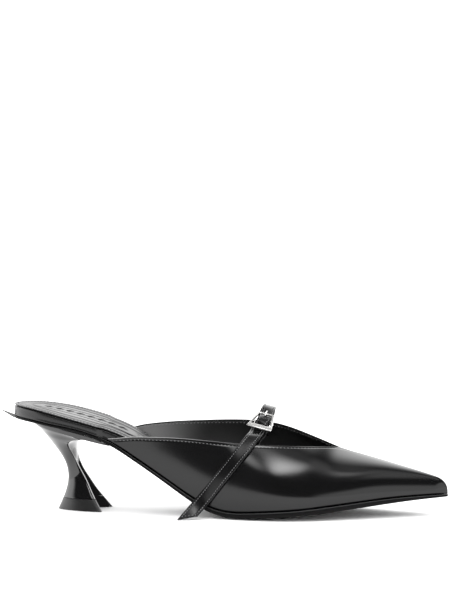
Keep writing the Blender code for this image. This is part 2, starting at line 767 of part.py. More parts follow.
def prong(finish):
    """Wire tongue: an eye round the sunken bar, then out through the strap to rest on the high bar."""
    eye = BAR_RADIUS + GAP + PRONG_RADIUS
    route = [
        (eye * math.cos(angle), BAR_SUNK + eye * math.sin(angle))
        for angle in np.linspace(math.radians(290), math.radians(90), 11)
    ]
    rest = BUCKLE_DEEP / 2 + GAP + PRONG_RADIUS
    route += [(1.4, -2.6), (2.7, -2.9), (3.7, -2.5), (4.2, -1.4), (4.4, 0.0), (4.55, 0.8), (4.95, 1.25)]
    route += [(5.6, rest + 0.05), (6.4, rest), (7.1, rest - 0.1)]
    curve = bpy.data.curves.new("prong", "CURVE")
    curve.dimensions = "3D"
    curve.bevel_depth = PRONG_RADIUS * MM
    curve.bevel_resolution = 2
    curve.use_fill_caps = True
    wire = curve.splines.new("POLY")
    wire.points.add(len(route) - 1)
    for point, (up, out) in zip(wire.points, route):
        point.co = (0, up * MM, out * MM, 1)
    curve.materials.append(finish)
    piece = bpy.data.objects.new("prong", curve)
    bpy.context.scene.collection.objects.link(piece)
    return place_on_buckle(piece)


MATERIALS = {
    "leather": material("black box leather", (0.012, 0.012, 0.013), 0.28),
    "lining": material("black lining leather", (0.02, 0.02, 0.02), 0.5),
    "sole": material("black sole leather", (0.015, 0.015, 0.016), 0.4),
    "lacquer": material("black lacquered heel", (0.01, 0.01, 0.011), 0.08),
    "rubber": material("black top piece rubber", (0.03, 0.03, 0.03), 0.6),
    "metal": material("polished silver metal", (0.85, 0.85, 0.84), 0.12, 1.0),
}

outsole(MATERIALS["sole"])
footbed(MATERIALS["lining"])
upper(MATERIALS["leather"])
heel_block("heel_lift", [0.0, 3.4, LIFT_HEIGHT - GAP / 2], False, MATERIALS["rubber"])
shank = np.linspace(LIFT_HEIGHT + GAP / 2, CUP_RISE, 13)
cup = (43.8, 45.4, 46.8, 48.0, 49.2, 50.2, 51.2, 52.1)
heel_block("heel", [*shank, *cup], True, MATERIALS["lacquer"])
long_strap(MATERIALS["leather"])
short_strap(MATERIALS["leather"])
buckle_frame(MATERIALS["metal"])
prong(MATERIALS["metal"])
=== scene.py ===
import math
from functools import partial, reduce
from types import SimpleNamespace

import bmesh
import bpy
import numpy as np
from mathutils import Matrix, Vector


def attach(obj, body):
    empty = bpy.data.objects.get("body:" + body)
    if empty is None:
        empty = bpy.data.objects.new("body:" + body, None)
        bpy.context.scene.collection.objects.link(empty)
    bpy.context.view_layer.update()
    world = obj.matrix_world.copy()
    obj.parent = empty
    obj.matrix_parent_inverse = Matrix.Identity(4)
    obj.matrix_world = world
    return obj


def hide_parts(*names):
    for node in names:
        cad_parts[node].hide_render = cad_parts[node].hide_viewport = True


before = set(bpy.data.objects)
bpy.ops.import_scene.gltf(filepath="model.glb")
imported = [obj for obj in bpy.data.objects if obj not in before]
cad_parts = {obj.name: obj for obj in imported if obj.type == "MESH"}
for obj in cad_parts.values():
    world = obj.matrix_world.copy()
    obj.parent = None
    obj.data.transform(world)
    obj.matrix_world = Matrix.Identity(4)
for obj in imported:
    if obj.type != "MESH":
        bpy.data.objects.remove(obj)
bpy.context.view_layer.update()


# ---------------------------------------------------------------- camera
# A long lens stands a metre and a half off the outer side of the shoe, a little above the floor
# and turned slightly towards the toe.

AZIMUTH, PITCH, DISTANCE = math.radians(7.5), math.radians(3.5), 1.5
AIM = Vector((0.0834, 0.0187, 0.1248))
LENS, SENSOR_HEIGHT = 150, 36

away = Vector((math.sin(AZIMUTH) * math.cos(PITCH), -math.cos(AZIMUTH) * math.cos(PITCH), math.sin(PITCH)))
optics = bpy.data.cameras.new("camera")
optics.sensor_fit = "VERTICAL"
optics.sensor_height = SENSOR_HEIGHT
optics.lens = LENS
camera = bpy.data.objects.new("camera", optics)
camera.location = AIM + away * DISTANCE
camera.rotation_mode = "QUATERNION"
camera.rotation_quaternion = away.to_track_quat("Z", "Y")
bpy.context.scene.collection.objects.link(camera)
bpy.context.scene.camera = camera


# ---------------------------------------------------------------- outsole
# The sole is cut from black sole leather, thin in the seat and thicker under the forefoot. Its edge
# is trimmed, bevelled along the top, painted black and closed with a wheeled bead of wax. A thin
# spur runs out behind the seat.

MM = 0.001  # tables and sizes are in millimetres
GAP = 0.3
LATERAL, MEDIAL = -1, 1
SEAT_BACK, TOE_TIP = -42.4, 218.2
SEAT_ROUND, TOE_ROUND = 34.0, 7.0
SEAT_MIDDLE, TOE_MIDDLE = SEAT_BACK + SEAT_ROUND, TOE_TIP - TOE_ROUND
WIDEST_INSET = 0.75  # an inset takes at most this share of half the width
QUARTER = math.pi / 2


def spline(knots, values):
    """A natural cubic spline through values at knots, held level beyond both ends."""
    steps = np.diff(knots)
    system = np.eye(len(knots))
    for i in range(1, len(knots) - 1):
        system[i, i - 1 : i + 2] = steps[i - 1] / 6, (steps[i - 1] + steps[i]) / 3, steps[i] / 6
    bends = np.linalg.solve(system, np.r_[0.0, np.diff(np.diff(values) / steps), 0.0])

    def value(x):
        x = np.clip(x, knots[0], knots[-1])
        i = np.clip(np.searchsorted(knots, x) - 1, 0, len(knots) - 2)
        step = knots[i + 1] - knots[i]
        a = (knots[i + 1] - x) / step
        b = 1 - a
        bow = ((a**3 - a) * bends[i] + (b**3 - b) * bends[i + 1]) * step**2 / 6
        return a * values[i] + b * values[i + 1] + bow

    return value


def table(columns, *rows):
    """Rows of named columns, with each column a spline over the first one."""
    data = np.array(rows, float).T
    names = columns.split()[1:]
    return SimpleNamespace(**{name: spline(data[0], values) for name, values in zip(names, data[1:])})


# From above: the sole's middle line and half its width, before the ends are rounded off.
PLAN = table(
    "x middle half",
    (-42, 4.6, 25.4),
    (-20, 2.6, 25.5),
    (0, 0.5, 25.4),
    (15, -1.5, 24.1),
    (30, -3.4, 21.6),
    (45, -5.3, 19.8),
    (60, -6.9, 19.7),
    (75, -7.7, 22.3),
    (90, -7.0, 27.0),
    (105, -5.3, 32.2),
    (120, -3.5, 35.4),
    (135, -2.0, 35.4),
    (150, -0.9, 32.0),
    (165, -0.2, 26.3),
    (180, 0.4, 19.4),
    (195, 1.0, 12.4),
    (207, 1.4, 7.2),
    (218, 1.8, 3.0),
)

# Height of the underside along the edge, how far it hangs lower in the middle, and the thickness.
SOLE = table(
    "x edge crown thick",
    (-42, 54.5, 0.0, 1.5),
    (-28, 53.3, 0.0, 1.5),
    (-14, 51.1, 0.0, 1.5),
    (0, 48.5, 0.1, 1.6),
    (11, 45.3, 0.3, 1.6),
    (22, 40.4, 0.6, 1.7),
    (34, 32.8, 0.9, 1.8),
    (50, 22.1, 1.2, 1.9),
    (62, 14.0, 1.4, 2.1),
    (72, 7.9, 1.5, 2.3),
    (82, 3.3, 1.6, 2.5),
    (92, 1.3, 1.8, 2.6),
    (105, 1.4, 2.0, 2.7),
    (120, 2.3, 1.9, 2.8),
    (135, 3.3, 1.6, 2.9),
    (150, 4.8, 1.2, 3.0),
    (168, 6.8, 0.9, 2.9),
    (186, 8.7, 0.6, 2.6),
    (203, 10.2, 0.4, 1.8),
    (218, 11.2, 0.2, 1.2),
)


def sole_top(x):
    return SOLE.edge(x) + SOLE.thick(x)


def lane(x, y):
    """How far across the sole a point is, from -1 at the lateral edge to 1 at the medial edge."""
    return np.clip((y - PLAN.middle(x)) / PLAN.half(x), -1, 1)


def sole_under(x, y):
    """Height of the underside, which is cut level where the ball of the foot stands."""
    return np.maximum(SOLE.edge(x) - SOLE.crown(x) * (1 - lane(x, y) ** 2), 0)


def sole_height(share, rise=0.0):
    """Height at a share of the way up through the sole, and a rise above that."""
    return lambda x, y: sole_under(x, y) * (1 - share) + sole_top(x) * share + rise


WAIST_END = 60
ROUND_TURNS = np.linspace(0, QUARTER, 30)
STATIONS = np.r_[
    SEAT_MIDDLE - SEAT_ROUND * np.cos(ROUND_TURNS),
    np.linspace(SEAT_MIDDLE, WAIST_END, 116)[1:],
    np.linspace(WAIST_END, TOE_MIDDLE, 110)[1:],
    TOE_MIDDLE + TOE_ROUND * np.sin(ROUND_TURNS[1::2]),
]


def ring(inset, height, drawn_in=0.0, front=TOE_TIP):
    """A closed ring round the shoe: inset from the sole's outline, then drawn in by a share to the
    middle. Inset may be a function of x; height is a function of x and y."""
    behind = np.clip((SEAT_MIDDLE - STATIONS) / SEAT_ROUND, 0, 1)
    ahead = np.clip((STATIONS - TOE_MIDDLE) / TOE_ROUND, 0, 1)
    narrow = np.sqrt(np.clip(1 - behind**2, 0, 1) * np.clip(1 - ahead**2, 0, 1))
    depth = inset(STATIONS) if callable(inset) else np.full(len(STATIONS), float(inset))
    x = np.clip(STATIONS, SEAT_MIDDLE, TOE_MIDDLE)
    x = x - behind * (SEAT_ROUND - depth) * (1 - drawn_in)
    x = np.minimum(x + ahead * np.maximum(TOE_ROUND - depth, 0) * (1 - drawn_in), front)
    half = PLAN.half(x)
    reach = (half - np.minimum(depth, WIDEST_INSET * half)) * narrow * (1 - drawn_in)
    sides = []
    for side, order in ((LATERAL, slice(None)), (MEDIAL, slice(None, None, -1))):
        y = PLAN.middle(x) + side * reach
        sides.append(np.stack([x, y, height(x, y)], axis=-1)[order])
    return np.concatenate(sides)


def placed(name, data):
    """An object made of a mesh and linked to the scene."""
    piece = bpy.data.objects.new(name, data)
    bpy.context.scene.collection.objects.link(piece)
    return piece


MEETING, SLIVER = 0.002 * MM, 0.001 * MM


def finished(name, mesh, finish):
    """Joins meeting points, turns the faces outwards and makes the piece."""
    bmesh.ops.remove_doubles(mesh, verts=mesh.verts, dist=MEETING)
    bmesh.ops.dissolve_degenerate(mesh, dist=SLIVER, edges=mesh.edges)
    bmesh.ops.recalc_face_normals(mesh, faces=mesh.faces)
    data = bpy.data.meshes.new(name)
    mesh.to_mesh(data)
    mesh.free()
    data.materials.append(finish)
    data.shade_smooth()
    return placed(name, data)


def shell(name, rings, finish):
    """A closed mesh over rings of points in millimetres, whose first and last rings close on
    themselves."""
    mesh = bmesh.new()
    grid = [[mesh.verts.new(Vector(p) * MM) for p in loop] for loop in rings]
    for low, high in zip(grid, grid[1:]):
        for k in range(len(low)):
            n = (k + 1) % len(low)
            mesh.faces.new((low[k], low[n], high[n], high[k]))
    return finished(name, mesh, finish)


def plug(tree, value, socket):
    """Links another node's output to a socket, or sets the socket to a plain value."""
    if isinstance(value, bpy.types.NodeSocket):
        tree.links.new(value, socket)
    else:
        socket.default_value = value


def add(tree, kind, settings=None, **inputs):
    """A node with its settings and its inputs, which are values or other nodes' outputs."""
    node = tree.nodes.new(kind)
    for key, value in (settings or {}).items():
        setattr(node, key, value)
    for name, value in inputs.items():
        plug(tree, value, node.inputs[name.replace("_", " ")])
    return node


def sum_of(tree, kind, first, second):
    """The result of one arithmetic node."""
    node = add(tree, "ShaderNodeMath", {"operation": kind})
    plug(tree, first, node.inputs[0])
    plug(tree, second, node.inputs[1])
    return node.outputs[0]


def principled(name, settings):
    """A material with its shader's own sockets set."""
    made = bpy.data.materials.new(name)
    made.use_nodes = True
    for socket, value in settings.items():
        made.node_tree.nodes["Principled BSDF"].inputs[socket].default_value = value
    return made


def feed(made, **sources):
    """Leads patterns into the shader's sockets."""
    for name, source in sources.items():
        socket = made.node_tree.nodes["Principled BSDF"].inputs[name.replace("_", " ")]
        made.node_tree.links.new(source, socket)


def clouds(made, scale, detail, squeeze=None):
    """Soft noise through the piece, scale to the metre, which may be squeezed along its axes."""
    place = add(made.node_tree, "ShaderNodeTexCoord").outputs["Object"]
    if squeeze:
        place = add(made.node_tree, "ShaderNodeMapping", Vector=place, Scale=squeeze).outputs["Vector"]
    noise = add(made.node_tree, "ShaderNodeTexNoise", Vector=place, Scale=scale, Detail=detail)
    return noise.outputs["Fac"]


def spread(made, value, low, high, **limits):
    """A pattern stretched to run from low to high."""
    stretch = add(made.node_tree, "ShaderNodeMapRange", Value=value, To_Min=low, To_Max=high, **limits)
    return stretch.outputs["Result"]


def blend(made, share, *colours):
    """A colour between two, each of them a colour or another node's output."""
    node = add(made.node_tree, "ShaderNodeMix", {"data_type": "RGBA"})
    plug(made.node_tree, share, node.inputs[0])
    for colour, socket in zip(colours, node.inputs[6:8]):
        plain = isinstance(colour, tuple)
        plug(made.node_tree, (*colour, 1) if plain else colour, socket)
    return node.outputs[2]


def raised(made, height, depth, strength=1.0):
    """A pattern as relief, its depth in millimetres."""
    bump = add(made.node_tree, "ShaderNodeBump", Height=height, Strength=strength, Distance=depth * MM)
    return bump.outputs["Normal"]


def leather(name, colours, roughness, grain, pore, depth, shine=0.4):
    """Dyed leather: two close shades in soft clouds, gloss that varies, and a grain of fine pores.
    Grain and pore are sizes in millimetres, depth the pores' depth."""
    made = principled(name, {"Specular IOR Level": shine})
    place = add(made.node_tree, "ShaderNodeTexCoord").outputs["Object"]
    dye = clouds(made, 1 / (grain * 30 * MM), 3.0)
    folds = clouds(made, 1 / (grain * MM), 2.0)
    pores = add(made.node_tree, "ShaderNodeTexVoronoi", Vector=place, Scale=1 / (pore * MM), Randomness=1.0)
    relief = sum_of(made.node_tree, "MULTIPLY", pores.outputs["Distance"], folds)
    feed(
        made,
        Base_Color=blend(made, dye, *colours),
        Roughness=spread(made, dye, *roughness, From_Min=0.3, From_Max=0.7),
        Normal=raised(made, relief, depth),
    )
    return made


sole_leather = leather(
    "black edge-painted sole leather",
    ((0.002,) * 3, (0.003, 0.003, 0.0033)),
    roughness=(0.42, 0.55),
    grain=1.2,
    pore=0.5,
    depth=0.015,
    shine=0.1,
)

# The trimmed edge from the tread up: how far in from the outline, and the share of the thickness.
SOLE_EDGE = [(0.6, 0.0), (0.3, 0.05), (0.1, 0.14), (0.0, 0.28), (0.0, 0.5), (0.0, 0.76), (0.06, 0.79)]
SOLE_EDGE += [(0.3, 0.88), (0.55, 0.96), (0.7, 1.0)]

rings = [ring(SOLE_EDGE[0][0], sole_height(0), drawn_in) for drawn_in in np.linspace(1, 0, 12)[:-1]]
rings += [ring(inset, sole_height(share)) for inset, share in SOLE_EDGE]
rings += [ring(SOLE_EDGE[-1][0], sole_height(1), drawn_in) for drawn_in in (0.1, 0.5, 1)]
outsole = shell("outsole_leather", rings, sole_leather)
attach(outsole, "root")
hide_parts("outsole")

# The wax bead stands along the top of the edge, and sinks under the insole behind the upper.
BEAD_INSET, BEAD_RADIUS, BEAD_RISE = 0.4, 0.3, 0.12
BEAD_SUNK, BEAD_FRONT, BEAD_FADE = 1.1, 34.0, 12.0
waxed = leather(
    "waxed edge bead",
    ((0.012,) * 3, (0.018, 0.018, 0.019)),
    roughness=(0.3, 0.36),
    grain=1.2,
    pore=0.5,
    depth=0.008,
)


def bead_inset(out):
    return lambda x: BEAD_INSET - out + BEAD_SUNK * np.clip((BEAD_FRONT - x) / BEAD_FADE, 0, 1)


rings = []
for turn in np.linspace(0, 2 * math.pi, 11):
    rise = BEAD_RADIUS * math.sin(turn) - BEAD_RISE
    rings.append(ring(bead_inset(BEAD_RADIUS * math.cos(turn)), sole_height(1, rise)))
bead = shell("outsole_bead", rings, waxed)
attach(bead, "root")

# The spur goes on along the slope of the seat and narrows to a point.
SPUR_TIP, SPUR_ROOT = -50.3, SEAT_BACK + 1.5
SPUR_HALF, SPUR_TIP_HALF, SPUR_TOP, SPUR_UNDER = 4.8, 0.25, 0.36, 0.04
SPUR_SLOPE = math.tan(math.radians(24.5))


def flattened(loop):
    """A section pressed to its middle height, which closes an end."""
    loop = np.array(loop)
    loop[:, 2] = loop[:, 2].mean()
    return loop


rings = []
for x in np.linspace(SPUR_ROOT, SPUR_TIP, 14):
    half = np.interp(x, (SPUR_TIP, SEAT_BACK), (SPUR_TIP_HALF, SPUR_HALF))
    rise = SOLE.edge(x) + SPUR_SLOPE * max(SEAT_BACK - x, 0)
    across = half * np.sin(np.linspace(-QUARTER, QUARTER, 7))
    outline = [(a, SPUR_TOP) for a in across] + [(a, SPUR_UNDER) for a in across[::-1]]
    rings.append([(x, PLAN.middle(x) + a, rise + up) for a, up in outline])
spur = shell("seat_spur", [flattened(rings[0]), *rings, flattened(rings[-1])], sole_leather)
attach(spur, "root")


# ---------------------------------------------------------------- heel
# The heel is moulded in black plastic and lacquered to a high gloss: round behind, with a narrow
# waist and two thin wings that sweep forward under the arch. The hollow in front is left unpolished
# low down.

HEEL_TURN = math.radians(-6.0)
HEEL_AXES = np.array(Matrix.Rotation(-HEEL_TURN, 3, "Z"))
LIFT_HEIGHT, CUP_RISE, HEEL_RISE = 6.9, 42.0, 52.1
ROOF_STEP, WING_EDGE, EDGE_TURN = 0.9, 2.2, 0.9
HOLLOW_TOP = 26.0
HEEL = table(
    "rise back wing wing_rise half hollow",
    (0.0, -15.0, 15.0, 0.0, 12.9, 9.0),
    (7.0, -12.0, 10.1, 7.0, 10.0, 8.2),
    (12.0, -10.3, 6.8, 12.0, 7.6, 6.8),
    (17.4, -9.2, 3.7, 17.4, 5.7, 5.0),
    (22.4, -9.3, 0.6, 22.4, 4.8, 3.0),
    (28.5, -11.1, -2.7, 28.5, 4.9, 0.6),
    (34.0, -14.4, -4.7, 33.9, 7.1, -0.6),
    (39.2, -18.3, -5.6, 38.8, 11.2, -0.7),
    (42.6, -20.9, -4.6, 41.1, 14.3, -0.3),
    (45.0, -22.9, -2.3, 42.4, 16.6, 0.8),
    (47.2, -25.0, 2.6, 43.3, 18.8, 2.6),
    (49.0, -26.9, 7.8, 43.6, 20.8, 4.6),
    (50.4, -28.6, 13.0, 43.1, 22.4, 6.6),
    (51.4, -29.8, 18.0, 42.1, 23.5, 8.2),
    (52.1, -30.8, 23.0, 40.5, 24.2, 9.4),
)


def heel_ring(rise):
    """One section: round the back from wing to wing, then back along the front."""
    wing, back, level = HEEL.wing(rise), HEEL.back(rise), HEEL.wing_rise(rise)
    half, hollow = HEEL.half(rise), HEEL.hollow(rise)
    last = math.acos(EDGE_TURN / (wing - back))
    turns = np.linspace(-last, last, 57)
    bend = np.linspace(0, QUARTER, 7)[1:]
    corner = EDGE_TURN * (1 - np.sin(bend))
    corner_side = half * math.sin(last) - EDGE_TURN * (1 - np.cos(bend))
    front = np.linspace(QUARTER, -QUARTER, len(turns) + 2 * len(bend))
    depth = np.r_[corner[::-1], (wing - back) * np.cos(turns), corner, hollow * np.cos(front) ** 2]
    side = np.r_[-corner_side[::-1], half * np.sin(turns), corner_side, (half - WING_EDGE) * np.sin(front)]
    height = level + (rise - level) * depth / (wing - back)
    return np.stack([wing - depth, side, height], axis=-1) @ HEEL_AXES


def spine(loop):
    """The middle line between a section's back and its front, as a ring that closes the end."""
    return (loop + loop[::-1]) / 2


rough_inside = principled(
    "unpolished black moulding",
    {"Base Color": (0.006, 0.006, 0.0062, 1), "Roughness": 0.7, "Specular IOR Level": 0.08},
)


def in_hollow(place):
    """Whether a point lies on the unpolished inside of the hollow."""
    x, y, z = HEEL_AXES @ place
    wing, back = HEEL.wing(z), HEEL.back(z)
    between = abs(y) < HEEL.half(z) - WING_EDGE and (wing + back) / 2 < x < wing - 0.02
    return between and z < HOLLOW_TOP


def applied(piece):
    """The piece with its modifiers made part of its mesh."""
    seen = piece.evaluated_get(bpy.context.evaluated_depsgraph_get())
    made = bpy.data.meshes.new_from_object(seen)
    made.name = piece.name
    piece.modifiers.clear()
    piece.data = made
    return piece


def eased(piece, width, segments, sharp=30):
    """The piece with its edges rounded where they turn by more than an angle."""
    ease = piece.modifiers.new("eased edges", "BEVEL")
    ease.width = width * MM
    ease.segments = segments
    ease.angle_limit = math.radians(sharp)
    return applied(piece)


def heel_stack(name, rises, finish, under_sole=False):
    """A stretch of the heel, closed at both ends, with its edges eased."""
    rings = [heel_ring(rise) for rise in rises]
    for rise, loop in zip(rises, rings):
        if under_sole and rise > CUP_RISE:
            roof = sole_under(loop[:, 0], loop[:, 1]) - GAP - ROOF_STEP * (rises[-1] - rise)
            loop[:, 2] = roof if rise == rises[-1] else np.minimum(loop[:, 2], roof)
    piece = shell(name, [spine(rings[0]), *rings, spine(rings[-1])], finish)
    piece.data.materials.append(rough_inside)
    for face in piece.data.polygons:
        face.material_index = int(in_hollow(face.center / MM))
    return eased(piece, width=0.35, segments=3, sharp=50)


lacquer = principled(
    "black lacquered heel",
    {"Base Color": (0.002, 0.002, 0.0022, 1), "Coat Weight": 0.5, "Coat Roughness": 0.02},
)
ripples = clouds(lacquer, scale=110.0, detail=1.0)
haze = clouds(lacquer, scale=180.0, detail=3.0)
feed(lacquer, Roughness=spread(lacquer, haze, 0.04, 0.12), Normal=raised(lacquer, ripples, depth=0.03))

rises = [*np.linspace(LIFT_HEIGHT + GAP / 2, CUP_RISE, 56), *np.linspace(CUP_RISE, HEEL_RISE, 26)[1:]]
heel = heel_stack("heel_block", rises, lacquer, under_sole=True)
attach(heel, "root")
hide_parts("heel")


# ---------------------------------------------------------------- heel lift
# The top piece that meets the floor is a thick slice of hard black rubber, glued and pinned under
# the heel and sanded flush with it, which leaves it dull.

rubber = principled("black top piece rubber", {"Specular IOR Level": 0.5, "Roughness": 0.34})
dust = clouds(rubber, scale=150.0, detail=4.0)
dusty = blend(rubber, dust, (0.005, 0.005, 0.0052), (0.009, 0.009, 0.0092))
sanding = clouds(rubber, scale=2600.0, detail=2.0, squeeze=(1, 1, 0.25))
feed(rubber, Base_Color=dusty, Normal=raised(rubber, sanding, depth=0.02, strength=0.5))

lift = heel_stack("heel_top_piece", np.linspace(0, LIFT_HEIGHT - GAP / 2, 14), rubber)
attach(lift, "root")
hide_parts("heel_lift")


# ---------------------------------------------------------------- insole
# The insole board is wrapped in thin black calf. Behind the upper it is a thick platform whose
# covered side, the rand, shows, with a groove under the sock; inside the upper it narrows to the
# floor of the shoe.

FOOTBED = table(
    "x top tilt",
    (-42, 62.4, 0.0),
    (-30, 61.6, 0.1),
    (-18, 59.8, 0.4),
    (-5, 57.1, 0.8),
    (8, 53.9, 0.9),
    (20, 50.3, 1.0),
    (30, 46.2, 1.1),
    (40, 40.8, 1.1),
    (52, 32.6, 1.0),
    (64, 23.6, 0.8),
    (76, 15.2, 0.5),
    (88, 9.4, 0.2),
    (100, 7.4, 0.0),
    (120, 8.1, 0.0),
    (145, 9.9, 0.0),
    (175, 12.9, 0.0),
    (212, 15.2, 0.0),
)
RAND_INSET, INNER_INSET, TOE_INNER = 0.35, 2.8, 1.4
UPPER_BACK = 19.5
NARROW_FROM, NARROW_RUN = UPPER_BACK - 7.5, 5
TOE_FROM, TOE_RUN = 190, 15
INSOLE_FRONT = 212.0


def rand_inset(x):
    """How far inside the sole's edge the insole's side stands: less behind the upper."""
    inside = np.clip((x - NARROW_FROM) / NARROW_RUN, 0, 1)
    toe = np.clip((x - TOE_FROM) / TOE_RUN, 0, 1) * TOE_INNER
    return RAND_INSET + (INNER_INSET - RAND_INSET) * inside**2 * (3 - 2 * inside) + toe


def deeper(inset):
    return lambda x: rand_inset(x) + inset


def footbed_top(x, y):
    return FOOTBED.top(x) + FOOTBED.tilt(x) * lane(x, y)


def insole_ring(inset, share, below, drawn_in=0.0):
    """A ring at a share of the way up the insole's side, less a drop below its top."""

    def height(x, y):
        foot = sole_top(x) + GAP
        return foot + (footbed_top(x, y) - foot) * share - below

    return ring(deeper(inset), height, drawn_in, INSOLE_FRONT)


GROOVE_DEEP = 1.0
RAND = [
    # inset, share of the way up, drop below the top
    (0.15, 0.0, 0),
    (-0.15, 0.03, 0),
    (-0.25, 0.08, 0),
    (-0.2, 0.13, 0),
    (-0.06, 0.2, 0),
    (-0.1, 0.35, 0),
    (-0.12, 0.5, 0),
    (-0.08, 0.65, 0),
    (0.0, 1, 1.0),
    (0.06, 1, 0.86),
    (0.25, 1, 0.8),
    (0.9, 1, 0.75),
    (GROOVE_DEEP, 1, 0.4),
]
calf = leather(
    "black calf insole cover",
    ((0.005,) * 3, (0.007, 0.007, 0.0075)),
    roughness=(0.24, 0.32),
    grain=1.6,
    pore=0.45,
    depth=0.015,
)
rings = [insole_ring(0.5, 0, 0, drawn_in) for drawn_in in (1, 0.5, 0)]
rings += [insole_ring(*row) for row in RAND]
rings += [insole_ring(GROOVE_DEEP, 1, 0.1, drawn_in) for drawn_in in (0.05, 0.5, 1)]
insole = shell("insole_and_rand", rings, calf)
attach(insole, "root")
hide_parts("footbed")


# ---------------------------------------------------------------- sock lining
# A sheet of lining leather is glued over the insole, with its border stitched all round. Two
# creased lines follow the border, and a stamped panel of plain lozenges lies in the seat.

SOCK_EDGE, SOCK_RISE, SOCK_FRONT = 0.15, 0.6, 205.0
SOCK_CUT = [(0.0, 0.5), (-0.04, 0.3), (0.0, 0.12), (0.1, 0.03), (0.25, 0.0)]  # inset, drop
BORDER_WIDE, CREASES, CREASE_HALF, CREASE_DEEP = 15.5, (4.8, 10.6), 1.5, 0.6
SEAM_INSET, SEAM_END = 2.0, 120
PANEL_BACK, PANEL_FRONT, PANEL_HALF = -24.0, 28.0, 7.0
LINE_DEEP, LINE_HALF = 0.45, 0.45
LOZENGE, LOZENGE_HALF, LOZENGE_DEEP, LOZENGE_STEEP = 6.5, 3.8, 0.6, 5


def stamped(x, y):
    """How deep the panel's stamp has pressed the leather."""
    aside = y - PLAN.middle(x)
    off = np.hypot(x - np.clip(x, PANEL_BACK, PANEL_FRONT), aside)
    line = LINE_DEEP * np.exp(-(((off - PANEL_HALF) / LINE_HALF) ** 2))
    spread_out = 2 * np.abs((x - PANEL_BACK) / LOZENGE % 1 - 0.5) + np.abs(aside) / LOZENGE_HALF
    inside = (x > PANEL_BACK) & (x < PANEL_FRONT)
    return line + LOZENGE_DEEP * inside * np.clip((1 - spread_out) * LOZENGE_STEEP, 0, 1)


def creased(inset):
    return CREASE_DEEP * sum(math.exp(-(((inset - line) / CREASE_HALF) ** 2)) for line in CREASES)


def sock_ring(inset, pressed, drawn_in=0.0):
    """A ring on the sock's top, pressed below it."""

    def height(x, y):
        return footbed_top(x, y) + SOCK_RISE - pressed - stamped(x, y)

    return ring(deeper(inset), height, drawn_in, SOCK_FRONT)


lining_leather = leather(
    "black sock lining leather",
    ((0.008, 0.008, 0.0085), (0.013, 0.013, 0.0135)),
    roughness=(0.3, 0.42),
    grain=1.4,
    pore=0.5,
    depth=0.03,
    shine=0.3,
)
insets = np.arange(SOCK_EDGE + 0.5, BORDER_WIDE, 0.25)
rings = [sock_ring(SOCK_EDGE, SOCK_RISE + 0.05, drawn_in) for drawn_in in (1, 0.5, 0.05)]
rings += [sock_ring(SOCK_EDGE + inset, pressed) for inset, pressed in SOCK_CUT]
rings += [sock_ring(inset, creased(inset)) for inset in insets]
rings += [sock_ring(insets[-1], 0, drawn_in) for drawn_in in np.linspace(0, 1, 40)[1:]]
sock = shell("sock_lining", rings, lining_leather)
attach(sock, "root")


# The same waxed thread sews the sock, the topline and the strap.
thread = principled("charcoal waxed thread", {"Base Color": (0.13, 0.13, 0.132, 1), "Roughness": 0.5})
twist = clouds(thread, scale=5000.0, detail=1.0)
feed(thread, Normal=raised(thread, twist, depth=0.03, strength=0.4))


def stitch_tree():
    """Geometry Nodes that set a row of thread humps along a path, each one facing out."""
    tree = bpy.data.node_groups.new("stitch row", "GeometryNodeTree")
    sizes = [(name, "Float") for name in ("Step", "Length", "Thread", "Slant")]
    for name, kind in (("Path", "Geometry"), *sizes, ("Finish", "Material")):
        tree.interface.new_socket(name, in_out="INPUT", socket_type="NodeSocket" + kind)
    tree.interface.new_socket("Stitches", in_out="OUTPUT", socket_type="NodeSocketGeometry")
    given = add(tree, "NodeGroupInput").outputs
    path = add(tree, "GeometryNodeMeshToCurve", Mesh=given["Path"]).outputs["Curve"]
    steps = add(tree, "GeometryNodeResampleCurve", {"mode": "LENGTH"}, Curve=path, Length=given["Step"])
    out = add(tree, "GeometryNodeInputNamedAttribute", {"data_type": "FLOAT_VECTOR"}, Name="out")
    turn = add(
        tree,
        "FunctionNodeAxesToRotation",
        {"primary_axis": "X", "secondary_axis": "Z"},
        Primary_Axis=add(tree, "GeometryNodeInputTangent").outputs["Tangent"],
        Secondary_Axis=out.outputs["Attribute"],
    )
    stitch = add(
        tree,
        "GeometryNodeTransform",
        Geometry=add(tree, "GeometryNodeMeshUVSphere", Segments=6, Rings=5, Radius=0.5).outputs["Mesh"],
        Rotation=add(tree, "ShaderNodeCombineXYZ", Z=given["Slant"]).outputs[0],
        Scale=add(
            tree, "ShaderNodeCombineXYZ", X=given["Length"], Y=given["Thread"], Z=given["Thread"]
        ).outputs[0],
    )
    row = add(
        tree,
        "GeometryNodeInstanceOnPoints",
        Points=steps.outputs["Curve"],
        Instance=stitch.outputs["Geometry"],
        Rotation=turn.outputs["Rotation"],
    )
    real = add(tree, "GeometryNodeRealizeInstances", Geometry=row.outputs["Instances"]).outputs["Geometry"]
    sewn = add(tree, "GeometryNodeSetMaterial", Geometry=real, Material=given["Finish"])
    add(tree, "NodeGroupOutput", Stitches=sewn.outputs["Geometry"])
    return tree


STITCHES = stitch_tree()


